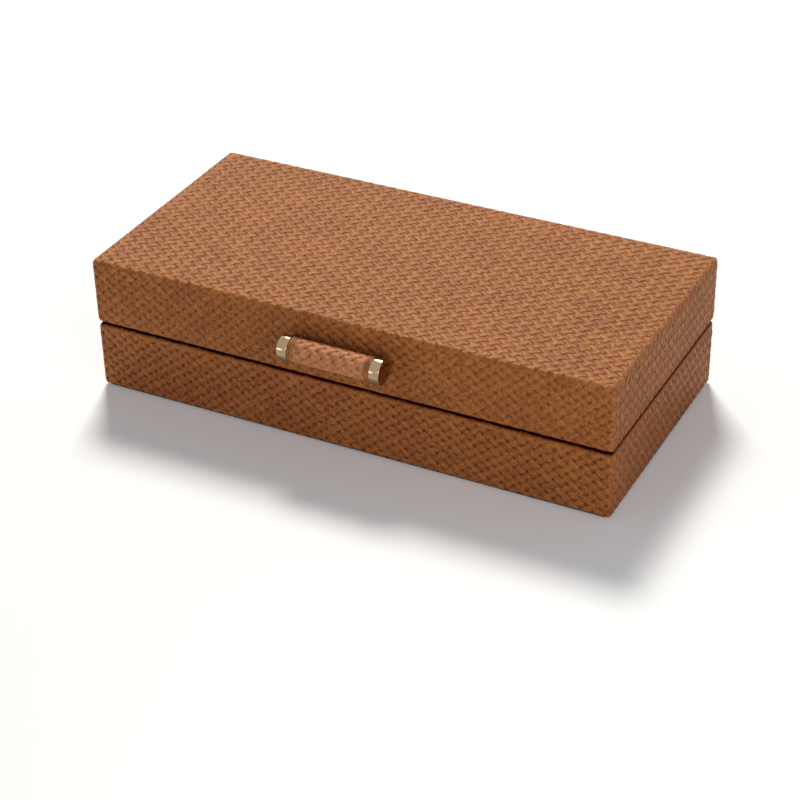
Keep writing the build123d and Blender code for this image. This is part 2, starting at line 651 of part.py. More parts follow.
for side, hand in ((-1, "left"), (1, "right")):
    with BuildPart() as handle_collar:
        with BuildSketch(BAR_PLANE.offset(side * (COLLAR_INNER_X + COLLAR_WIDTH / 2) - COLLAR_WIDTH / 2)):
            Circle(COLLAR_R)
            Circle(CORE_R, mode=Mode.SUBTRACT)
        extrude(amount=COLLAR_WIDTH)
    save(handle_collar.part, f"handle_collar_{hand}")

    cap_plane = Plane(
        origin=(side * CAP_INNER_X, HANDLE_Y, HANDLE_Z), x_dir=(0, 1, 0), z_dir=(side, 0, 0)
    )
    with BuildPart() as handle_end_cap:
        with BuildSketch(cap_plane):
            Circle(CAP_R)
        extrude(amount=CAP_LENGTH)
        rims = handle_end_cap.edges().filter_by(GeomType.CIRCLE)
        fillet(rims, CAP_EDGE_R)
        with BuildSketch(cap_plane):
            Circle(CORE_R + CORE_CLEAR)
        extrude(amount=CAP_LENGTH - CAP_WALL, mode=Mode.SUBTRACT)
    save(handle_end_cap.part, f"handle_end_cap_{hand}")

    post_plane = Plane(
        origin=(side * POST_X, POST_END_Y, HANDLE_Z), x_dir=(1, 0, 0), z_dir=(0, 1, 0)
    )
    with BuildPart() as handle_post:
        with BuildSketch(post_plane):
            Circle(POST_R)
        extrude(amount=POST_LENGTH)
        with BuildSketch(post_plane):
            Circle(SPIGOT_R)
        extrude(amount=-SPIGOT_LENGTH)
        with BuildSketch(post_plane.offset(POST_LENGTH - HANDLE_SCREW_BITE)):
            Circle(HANDLE_SCREW_R + SCREW_CLEAR)
        extrude(amount=HANDLE_SCREW_BITE, mode=Mode.SUBTRACT)
    save(handle_post.part, f"handle_post_{hand}")

SCREW_SEAT_Y = -LID_INNER_DEPTH / 2 - HANDLE_SCREW_HEAD_T
HEAD_PLANE = Plane(origin=(0, SCREW_SEAT_Y, HANDLE_Z), x_dir=(1, 0, 0), z_dir=(0, 1, 0))
with BuildPart() as handle_screws:
    with BuildSketch(HEAD_PLANE):
        with Locations(POST_SPOTS):
            Circle(HANDLE_SCREW_HEAD_R)
    extrude(amount=HANDLE_SCREW_HEAD_T)
    with BuildSketch(HEAD_PLANE):
        with Locations(POST_SPOTS):
            Circle(HANDLE_SCREW_R)
    extrude(amount=-(CASE_DEPTH / 2 + SCREW_SEAT_Y + HANDLE_SCREW_BITE))
save(handle_screws.part, "handle_screws")
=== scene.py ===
"""Dresses a woven-leather jewelry case: covers, bar handle, lining, hinges and studio."""

from __future__ import annotations

import json
import logging
import math
import random
from dataclasses import dataclass
from enum import Enum
from itertools import product
from typing import Callable

import bmesh
import bpy
from mathutils import Matrix, Vector, noise


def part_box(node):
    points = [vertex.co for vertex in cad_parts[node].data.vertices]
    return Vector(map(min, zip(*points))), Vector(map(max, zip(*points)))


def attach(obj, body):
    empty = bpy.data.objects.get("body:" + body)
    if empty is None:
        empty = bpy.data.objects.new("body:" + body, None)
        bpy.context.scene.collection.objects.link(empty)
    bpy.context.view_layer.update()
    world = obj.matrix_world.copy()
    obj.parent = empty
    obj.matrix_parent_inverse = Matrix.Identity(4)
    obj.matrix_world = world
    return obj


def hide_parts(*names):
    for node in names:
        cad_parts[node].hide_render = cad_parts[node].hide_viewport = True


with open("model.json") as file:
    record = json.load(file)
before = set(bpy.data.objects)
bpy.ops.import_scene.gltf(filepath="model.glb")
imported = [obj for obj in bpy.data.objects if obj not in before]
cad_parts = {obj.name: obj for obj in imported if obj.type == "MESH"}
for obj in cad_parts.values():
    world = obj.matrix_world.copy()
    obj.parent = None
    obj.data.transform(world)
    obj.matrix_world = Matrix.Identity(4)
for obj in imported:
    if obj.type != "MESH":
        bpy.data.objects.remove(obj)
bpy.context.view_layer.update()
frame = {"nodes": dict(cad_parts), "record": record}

log = logging.getLogger("jewelry_case")

Colour = tuple[float, float, float]
Outline = list[tuple[float, float]]
ByPlace = Callable[[float, float], float]
Material = bpy.types.Material
Piece = bpy.types.Object
Socket = bpy.types.NodeSocket
Mesh = bmesh.types.BMesh
Vert = bmesh.types.BMVert
Edge = bmesh.types.BMEdge
Face = bmesh.types.BMFace

MM = 0.001
CLOSE = 2e-6
HANDS = ("left", "right")
SIGNS = (-1.0, 1.0)
QUARTER_TURN = math.pi / 2


class Body(Enum):
    """The two rigid bodies of the case."""

    BASE = "base"
    LID = "lid"


def srgb(red: int, green: int, blue: int) -> Colour:
    """Turn an 8-bit display colour into scene-linear values.

    Args:
        red: Red, 0 to 255.
        green: Green, 0 to 255.
        blue: Blue, 0 to 255.

    Returns:
        The linear colour.
    """

    def linear(level: int) -> float:
        """Undo the display curve of one channel."""
        share = level / 255
        return share / 12.92 if share <= 0.04045 else ((share + 0.055) / 1.055) ** 2.4

    return linear(red), linear(green), linear(blue)


def put_in_scene(name: str, data: bpy.types.ID) -> Piece:
    """Make an object of a mesh, lamp or camera, and put it in the scene.

    Args:
        name: Name of the object.
        data: What it shows.

    Returns:
        The object, at the origin.
    """
    made = bpy.data.objects.new(name, data)
    bpy.context.scene.collection.objects.link(made)
    return made


def seen_directly(tree: bpy.types.NodeTree) -> Socket:
    """Tell whether the camera sees a place itself, in a mirror or through glass.

    Args:
        tree: The nodes of a material or world.

    Returns:
        The value 1 or 0.
    """
    path = tree.nodes.new("ShaderNodeLightPath")
    seen = path.outputs["Is Camera Ray"]
    for ray in ("Is Glossy Ray", "Is Transmission Ray"):
        either = tree.nodes.new("ShaderNodeMath")
        either.operation = "MAXIMUM"
        tree.links.new(seen, either.inputs[0])
        tree.links.new(path.outputs[ray], either.inputs[1])
        seen = either.outputs[0]
    return seen


def link_mesh(name: str, bm: Mesh, material: Material) -> Piece:
    """Turn a finished bmesh into a smooth-shaded object at the origin.

    Args:
        name: Name of the new object.
        bm: The shape, freed afterwards.
        material: Its finish.

    Returns:
        The linked object.
    """
    mesh = bpy.data.meshes.new(name)
    bm.to_mesh(mesh)
    bm.free()
    mesh.materials.append(material)
    mesh.shade_smooth()
    return put_in_scene(name, mesh)


def bisect(
    sheet: Mesh, place: Vector, facing: Vector, faces: list[Face] | None = None, clear: bool = False
) -> None:
    """Cut a mesh along a plane.

    Args:
        sheet: The mesh.
        place: A point of the plane.
        facing: The plane's direction.
        faces: The faces to cut, or None for all of them.
        clear: Whether to drop what lies beyond the plane.
    """
    if faces is None:
        geom = sheet.verts[:] + sheet.edges[:] + sheet.faces[:]
    else:
        edges = dict.fromkeys(edge for face in faces for edge in face.edges)
        verts = dict.fromkeys(vert for face in faces for vert in face.verts)
        geom = [*verts, *edges, *faces]
    bmesh.ops.bisect_plane(
        sheet, geom=geom, dist=1e-7, plane_co=place, plane_no=facing, clear_outer=clear
    )


def extrude(bm: Mesh, edges: list[Edge]) -> tuple[list[Vert], list[Edge]]:
    """Grow faces from open edges, still in place.

    Args:
        bm: The mesh.
        edges: The open edges.

    Returns:
        The new points and the new open edges.
    """
    grown = bmesh.ops.extrude_edge_only(bm, edges=edges)["geom"]
    verts = [item for item in grown if isinstance(item, Vert)]
    return verts, [item for item in grown if isinstance(item, Edge)]


class Shade:
    """A node material built round one Principled shader."""

    def __init__(self, name: str, **sockets: object) -> None:
        """Make the material and set constant values on the shader's own sockets.

        Args:
            name: Name of the material.
            sockets: Shader inputs by name, with underscores for spaces.
        """
        self.material = bpy.data.materials.new(name)
        self.material.use_nodes = True
        self.tree = self.material.node_tree
        self.tree.nodes.clear()
        self.shader = self.tree.nodes.new("ShaderNodeBsdfPrincipled")
        output = self.tree.nodes.new("ShaderNodeOutputMaterial")
        self.tree.links.new(self.shader.outputs["BSDF"], output.inputs["Surface"])
        self.surface(**sockets)

    def surface(self, **sockets: object) -> None:
        """Link or set the shader's own inputs, named with underscores for spaces."""
        for socket, value in sockets.items():
            self.put(self.shader, socket.replace("_", " "), value)

    def put(self, node: bpy.types.Node, socket: str | int, value: object) -> None:
        """Link or set one input of a node.

        Args:
            node: The node.
            socket: The input's name or index.
            value: A socket, number or colour.
        """
        if isinstance(value, Socket):
            self.tree.links.new(value, node.inputs[socket])
        elif isinstance(value, tuple) and len(value) == 3 and node.inputs[socket].type == "RGBA":
            node.inputs[socket].default_value = (*value, 1.0)
        else:
            node.inputs[socket].default_value = value

    def add(self, kind: str, inputs: dict[str | int, object], **settings: object) -> bpy.types.Node:
        """Add a node with its settings and inputs.

        Args:
            kind: Node type without the ShaderNode prefix.
            inputs: Values or sockets by input name or index.
            settings: Properties of the node.

        Returns:
            The new node.
        """
        node = self.tree.nodes.new("ShaderNode" + kind)
        for setting, value in settings.items():
            setattr(node, setting, value)
        for socket, value in inputs.items():
            self.put(node, socket, value)
        return node

    def object_point(self) -> Socket:
        """The place on the piece, in metres."""
        return self.add("TexCoord", {}).outputs["Object"]

    def noise(self, point: Socket, scale: float, detail: float) -> Socket:
        """Soft noise between 0 and 1."""
        inputs = {"Vector": point, "Scale": scale, "Detail": detail}
        return self.add("TexNoise", inputs).outputs["Fac"]

    def calc(self, operation: str, first: object, second: object) -> Socket:
        """One arithmetic step."""
        return self.add("Math", {0: first, 1: second}, operation=operation).outputs[0]

    def times(self, value: object, factor: object) -> Socket:
        """A product."""
        return self.calc("MULTIPLY", value, factor)

    def total(self, first: object, *others: object) -> object:
        """Add values up.

        Args:
            first: The first value.
            others: The values added to it.

        Returns:
            Their sum.
        """
        for other in others:
            first = self.calc("ADD", first, other)
        return first

    def mix(self, share: object, first: object, second: object) -> Socket:
        """Blend two colours by a share."""
        return self.add("Mix", {0: share, 6: first, 7: second}, data_type="RGBA").outputs[2]

    def remap(
        self, value: object, start: float, end: float, low: float = 0.0, high: float = 1.0
    ) -> Socket:
        """Stretch a value from a start to end range to a low to high one, and clamp it there.

        Args:
            value: The value.
            start: Where its range starts.
            end: Where its range ends.
            low: What it gives at the start.
            high: What it gives at the end.

        Returns:
            The stretched value, clamped.
        """
        inputs = {"Value": value, "From Min": start, "From Max": end, "To Min": low, "To Max": high}
        return self.add("MapRange", inputs).outputs[0]

    def spread(self, value: object, low: float, high: float) -> Socket:
        """Stretch a 0 to 1 value to a low to high range."""
        return self.remap(value, 0.0, 1.0, low, high)

    def bump(self, height: object, distance: float, strength: float) -> Socket:
        """Fine relief from a height value, in metres."""
        inputs = {"Height": height, "Distance": distance, "Strength": strength}
        return self.add("Bump", inputs).outputs["Normal"]


@dataclass(frozen=True)
class StripLeather:
    """Supple brown leather cut into strips, with a soft sheen, painted shade in the pits between
    strips and a painted shadow along the seam at the turned-in rims.
    """

    name: str = "strip_leather"
    tan: Colour = srgb(187, 119, 62)
    chestnut: Colour = srgb(126, 67, 31)
    oxblood: Colour = srgb(138, 66, 38)
    # The shadow colour is painted shade: depth sets how dark it paints the pits between strips, and
    # the seam shade depth how dark it paints the turned-in rim along the seam.
    shadow: Colour = srgb(52, 16, 8)
    depth: float = 0.5
    seam_shade_depth: float = 0.6
    staining: float = 0.28
    roughness: float = 0.44
    specular: float = 0.31
    gloss: Colour = (1.0, 0.76, 0.52)
    grain_scale: float = 1500.0
    pore_scale: float = 2300.0
    wrinkle_scale: float = 620.0
    stain_scale: float = 75.0
    patch_scale: float = 38.0
    tone_range: tuple[float, float] = (0.1, 0.45)
    patch_swing: float = 0.45
    grain_swing: float = 0.25
    wrinkle_swing: float = 1.05
    # Where the painted shadow of the seam starts, on the attribute of painted shade.
    seam_shade_start: float = 0.93

    def build(self) -> Material:
        """Build the finish, which reads the strips' own map, the tone attribute and the attribute
        that holds the painted shade.

        Returns:
            The material.
        """
        shade = Shade(self.name, IOR=1.46, Specular_Tint=self.gloss)
        strip = shade.add("UVMap", {}, uv_map="strip").outputs["UV"]
        streaks = shade.add("Mapping", {"Vector": strip, "Scale": (0.3, 1.0, 1.0)}).outputs[0]
        place = shade.object_point()
        tone = shade.add("Attribute", {}, attribute_name="tone").outputs["Fac"]
        painted_shade = shade.add("Attribute", {}, attribute_name="painted_shade").outputs["Fac"]
        grain = shade.noise(streaks, self.grain_scale, 4.0)
        pores = shade.add("TexVoronoi", {"Vector": strip, "Scale": self.pore_scale})
        pits = pores.outputs["Distance"]
        patches = shade.noise(place, self.patch_scale, 2.0)
        wrinkles = shade.noise(place, self.wrinkle_scale, 3.0)
        warmth = shade.total(
            shade.spread(tone, *self.tone_range),
            shade.times(patches, self.patch_swing),
            shade.spread(grain, -self.grain_swing, self.grain_swing),
            shade.spread(wrinkles, -self.wrinkle_swing, self.wrinkle_swing),
        )
        leather = shade.mix(warmth, self.chestnut, self.tan)
        stains = shade.remap(shade.noise(place, self.stain_scale, 4.0), 0.45, 0.75)
        leather = shade.mix(shade.times(stains, self.staining), leather, self.oxblood)
        # Painted shade: the pits darken with their depth, the turned-in rim goes nearly black for
        # the seam's shadow, and both lose their specular highlight.
        pit_shade_share = shade.remap(painted_shade, 0.0, 0.9, 0.0, self.depth)
        edge = shade.times(shade.calc("GREATER_THAN", painted_shade, self.seam_shade_start), self.seam_shade_depth)
        relief = shade.total(grain, shade.times(pits, 0.6), shade.times(wrinkles, 4.0))
        shade.surface(
            Base_Color=shade.mix(shade.total(pit_shade_share, edge), leather, self.shadow),
            Specular_IOR_Level=shade.remap(painted_shade, 0.1, 0.7, self.specular, 0.0),
            Roughness=shade.spread(grain, self.roughness - 0.1, self.roughness + 0.14),
            Normal=shade.bump(relief, 0.00008, 0.9),
        )
        return shade.material


@dataclass(frozen=True)
class GrainLeather:
    """The same hide left whole and pebbled, for the collars of the handle."""

    light: Colour = srgb(188, 124, 76)
    dark: Colour = srgb(128, 74, 42)
    roughness: float = 0.5
    pebble_scale: float = 620.0
    crease_scale: float = 260.0
    pore_scale: float = 2600.0

    def build(self) -> Material:
        """Build the finish, patterned on the piece's own place in space.

        Returns:
            The material.
        """
        shade = Shade("grain_leather", IOR=1.46, Specular_IOR_Level=0.25)
        place = shade.object_point()
        inputs = {"Vector": place, "Scale": self.pebble_scale}
        pebbles = shade.add("TexVoronoi", inputs, feature="SMOOTH_F1")
        creases = shade.noise(place, self.crease_scale, 4.0)
        fine = shade.noise(place, self.pore_scale, 2.0)
        hollow = pebbles.outputs["Distance"]
        share = shade.total(shade.spread(hollow, 0.75, -0.1), shade.spread(creases, -0.4, 0.4))
        height = shade.total(shade.spread(hollow, 1.0, 0.0), shade.times(fine, 0.25))
        shade.surface(
            Base_Color=shade.mix(share, self.dark, self.light),
            Roughness=shade.spread(fine, self.roughness - 0.08, self.roughness + 0.12),
            Normal=shade.bump(height, 0.0002, 0.9),
        )
        return shade.material


@dataclass(frozen=True)
class Suede:
    """Soft napped lining, mottled where it was brushed."""

    name: str = "suede_lining"
    light: Colour = srgb(150, 116, 90)
    dark: Colour = srgb(112, 82, 60)
    brush_scale: float = 55.0
    nap_scale: float = 1800.0

    def build(self) -> Material:
        """Build the finish.

        Returns:
            The material.
        """
        shade = Shade(self.name, Sheen_Weight=0.35, Sheen_Roughness=0.5, Roughness=0.95)
        place = shade.object_point()
        brushed = shade.noise(place, self.brush_scale, 3.0)
        nap = shade.noise(place, self.nap_scale, 3.0)
        share = shade.total(shade.spread(brushed, -0.2, 0.9), shade.spread(nap, -0.25, 0.25))
        colour = shade.mix(share, self.dark, self.light)
        shade.surface(Base_Color=colour, Sheen_Tint=self.light, Normal=shade.bump(nap, 0.0002, 0.6))
        return shade.material


@dataclass(frozen=True)
class Metal:
    """A metal with a colour, a polish and fine brushing."""

    name: str
    colour: Colour
    polish: float
    brushing: float = 0.0
    haze_scale: float = 90.0
    scratch_scale: float = 5200.0

    def build(self) -> Material:
        """Build the finish.

        Returns:
            The material.
        """
        shade = Shade(self.name, Metallic=1.0)
        place = shade.object_point()
        haze = shade.noise(place, self.haze_scale, 2.0)
        lines = shade.add("Mapping", {"Vector": place, "Scale": (0.05, 1.0, 1.0)}).outputs[0]
        scratches = shade.noise(lines, self.scratch_scale, 2.0)
        deep = tuple(0.86 * channel for channel in self.colour)
        shade.surface(
            Base_Color=shade.mix(haze, deep, self.colour),
            Roughness=shade.spread(haze, self.polish * 0.8, self.polish * 1.3),
            Normal=shade.bump(scratches, 0.00001, self.brushing),
        )
        return shade.material


@dataclass(frozen=True)
class Board:
    """Raw fibreboard, with a fine speckle."""

    light: Colour = srgb(178, 146, 108)
    dark: Colour = srgb(140, 110, 78)
    speck_scale: float = 1400.0

    def build(self) -> Material:
        """Build the finish.

        Returns:
            The material.
        """
        shade = Shade("fibreboard", Roughness=0.85)
        specks = shade.noise(shade.object_point(), self.speck_scale, 4.0)
        colour = shade.mix(specks, self.dark, self.light)
        shade.surface(Base_Color=colour, Normal=shade.bump(specks, 0.0001, 0.4))
        return shade.material


@dataclass(frozen=True)
class MirrorGlass:
    """Silvered glass, with the slight greenish cast of its thickness."""

    silver: Colour = srgb(236, 240, 238)
    cast: Colour = (0.86, 0.9, 0.88)
    haze_scale: float = 12.0

    def build(self) -> Material:
        """Build the finish.

        Returns:
            The material.
        """
        shade = Shade("mirror_glass", Metallic=1.0, Coat_Weight=1.0, Coat_Roughness=0.02)
        haze = shade.noise(shade.object_point(), self.haze_scale, 2.0)
        colour = shade.mix(haze, self.silver, self.cast)
        shade.surface(Base_Color=colour, Roughness=shade.spread(haze, 0.01, 0.03))
        return shade.material


@dataclass
class Weave:
    """An open basket weave on the bias: rounded strips, each over one and under one.

    Strand coordinates count strips: a grows towards the right and back, b towards the right
    and front. Whole numbers are the middles of the gaps between strips, where small square
    pits show.
    """

    pitch_u: float = 7.2 * MM
    pitch_v: float = 5.92 * MM
    climb: float = 0.045
    share_a: float = 0.61
    share_b: float = 0.72
    flank: float = 0.035
    swing: float = 0.36 * MM
    crown: float = 0.1 * MM
    pit: float = 0.55 * MM
    flat_pit: float = 0.28 * MM
    # Strength of the painted shade in the pits, weaker on the flat face.
    pit_shade: float = 0.9
    flat_pit_shade: float = 0.6
    unevenness: float = 0.12 * MM
    uneven_pace: float = 22.0
    stray: float = 0.06
    wander: float = 0.1
    wander_pace: float = 0.11
    crossing_tone: float = 0.55
    # Lighter tone where the weave is smoothed out on the rim and the corner seams: a painted sheen.
    rim_sheen_tone: float = 0.75
    crossing_seeds: tuple[int, int] = (7919, 104729)
    strip_seed: int = 31
    second_family: int = 4000
    seed: int = 7

    def lines(self, share: float) -> tuple[float, ...]:
        """Where the mesh lines run within one strip's room: feet, shoulders and middle."""
        half = share / 2
        return 0.5 - half - self.flank, 0.5 - half, 0.5, 0.5 + half, 0.5 + half + self.flank

    def sheet(self, a: float, b: float) -> tuple[float, float]:
        """Place on the flat sheet of strand coordinates."""
        u = self.pitch_u * (a + b) / 2
        return u, self.pitch_v * (a - b) / 2 + self.climb * u

    def a_on_top(self, a: float, b: float) -> bool:
        """Whether the first family of strips lies on top in the crossing of a place."""
        return (math.floor(a) + math.floor(b)) % 2 == 0

    def strip(self, across: float, along: float, on_top: bool, pit: float, share: float) -> float:
        """Height of one strip, or of the pit's floor beside it.

        Args:
            across: Place across the strip, from 0 to 1, with its middle at 0.5.
            along: Place along it, with the crossing's middle at 0.5.
            on_top: Whether it is the upper one at this crossing.
            pit: Depth of the pits.
            share: How much of its room the strip fills.

        Returns:
            The height in metres, measured from the strips' middle level.
        """
        off = abs(across - 0.5)
        cover = min(1.0, max(0.0, (share / 2 + self.flank - off) / self.flank))
        wave = math.cos(math.pi * (along - 0.5)) * (1.0 if on_top else -1.0)
        height = self.swing * wave - self.crown * (2.0 * off / share) ** 2
        return -pit + (height + pit) * cover

    def raised(self, a: float, b: float, flat: bool = False) -> float:
        """Height of the woven surface, measured down from the tops of the strips.

        Args:
            a: Strand coordinate of the first family.
            b: Strand coordinate of the second family.
            flat: Whether it lies on the case's flat face, where it is pressed closer.

        Returns:
            The height, zero or less.
        """
        pit = self.flat_pit if flat else self.pit
        part_a, part_b = a - math.floor(a), b - math.floor(b)
        first_on_top = self.a_on_top(a, b)
        first = self.strip(part_a, part_b, first_on_top, pit, self.share_a)
        second = self.strip(part_b, part_a, not first_on_top, pit, self.share_b)
        return max(first, second) - self.swing

    def on_strips(self, a: float, b: float) -> tuple[bool, bool]:
        """Whether each family of strips passes through a place."""
        off_a, off_b = abs(a - math.floor(a) - 0.5), abs(b - math.floor(b) - 0.5)
        return off_a < (self.share_a + self.flank) / 2, off_b < (self.share_b + self.flank) / 2

    def tone(self, strip_a: int, strip_b: int, a_on_top: bool) -> float:
        """Tone of a crossing, partly its own and partly that of the whole strip on top.

        Args:
            strip_a: Number of the first family's strip.
            strip_b: Number of the second family's strip.
            a_on_top: Whether the first family's strip is the one on top.

        Returns:
            The tone, 0 to 1.
        """
        seed_a, seed_b = self.crossing_seeds
        own = random.Random(strip_a * seed_a + strip_b * seed_b + self.seed).random()
        number = strip_a if a_on_top else self.second_family + strip_b
        whole = random.Random(number * self.strip_seed + self.seed).random()
        return self.crossing_tone * own + (1.0 - self.crossing_tone) * whole

    def lay_out(self, half: int, shift: Callable[[float, float], tuple[float, float]]) -> Mesh:
        """Lay out a flat sheet, with mesh lines along the strips' edges.

        Args:
            half: How many strips it reaches to each side.
            shift: How far the strips stray, by strand coordinates.

        Returns:
            The sheet, with its strand coordinates in the layers a and b.
        """
        lines_a, lines_b = self.lines(self.share_a), self.lines(self.share_b)
        steps = len(lines_a)
        count = 2 * half * steps
        sheet = bmesh.new()
        bmesh.ops.create_grid(sheet, x_segments=count, y_segments=count, size=count / 2)
        layer_a = sheet.verts.layers.float.new("a")
        layer_b = sheet.verts.layers.float.new("b")
        for vert in sheet.verts:
            step_a, step_b = round(vert.co.x + count / 2), round(vert.co.y + count / 2)
            a = step_a // steps - half + lines_a[step_a % steps]
            b = step_b // steps - half + lines_b[step_b % steps]
            vert[layer_a], vert[layer_b] = a, b
            shift_a, shift_b = shift(a, b)
            vert.co = (*self.sheet(a + shift_a, b + shift_b), 0.0)
        return sheet


def paint_strips(
    sheet: Mesh,
    weave: Weave,
    calm: ByPlace = lambda u, v: 1.0,
    painted_seam_shade: ByPlace = lambda u, v: 0.0,
    is_flat: Callable[[float, float], bool] = lambda u, v: False,
) -> None:
    """Write the strips' map, each crossing's tone and the painted shade of the pits and of the seam
    on a flat sheet.

    Args:
        sheet: The flat sheet, with its strand coordinates in the layers a and b.
        weave: The weave.
        calm: How much of the weave is left, by place on the sheet.
        painted_seam_shade: Painted shadow of the seam along the sheet's edge, by place.
        is_flat: Whether a place lies on the flat face, where the painted pit shade is fainter.
    """
    layer_a, layer_b = sheet.verts.layers.float["a"], sheet.verts.layers.float["b"]
    painted_shade_layer = sheet.verts.layers.float.new("painted_shade")
    tone_layer = sheet.faces.layers.float.new("tone")
    strip_map = sheet.loops.layers.uv.new("strip")
    strip_width = 1.0 / math.hypot(1 / weave.pitch_u, 1 / weave.pitch_v)
    for vert in sheet.verts:
        place = vert.co.x, vert.co.y
        # Painted shade: the deeper a pit, the darker it is painted; the turned-in edge gets the
        # painted shadow of the seam.
        depth = -weave.raised(vert[layer_a], vert[layer_b]) / (weave.swing + weave.pit)
        strength = weave.pit_shade * (weave.flat_pit_shade if is_flat(*place) else 1.0)
        painted_pit_shade = strength * depth**2 * calm(*place) ** 2
        vert[painted_shade_layer] = min(1.0, max(painted_pit_shade, painted_seam_shade(*place)))
    for face in sheet.faces:
        count = len(face.verts)
        middle_a = sum(vert[layer_a] for vert in face.verts) / count
        middle_b = sum(vert[layer_b] for vert in face.verts) / count
        has_a, has_b = weave.on_strips(middle_a, middle_b)
        a_on_top = weave.a_on_top(middle_a, middle_b) if has_a == has_b else has_a
        strip_a, strip_b = math.floor(middle_a), math.floor(middle_b)
        middle = face.calc_center_median()
        left = calm(middle.x, middle.y)
        tone = weave.tone(strip_a, strip_b, a_on_top)
        # Where the weave is smoothed out, on the rim and the corner seams, the tone goes lighter: a
        # painted sheen.
        face[tone_layer] = tone * left + weave.rim_sheen_tone * (1.0 - left)
        for loop in face.loops:
            a, b = loop.vert[layer_a], loop.vert[layer_b]
            along, across = (b, a) if a_on_top else (a, b)
            loop[strip_map].uv = (along * strip_width, across * strip_width)


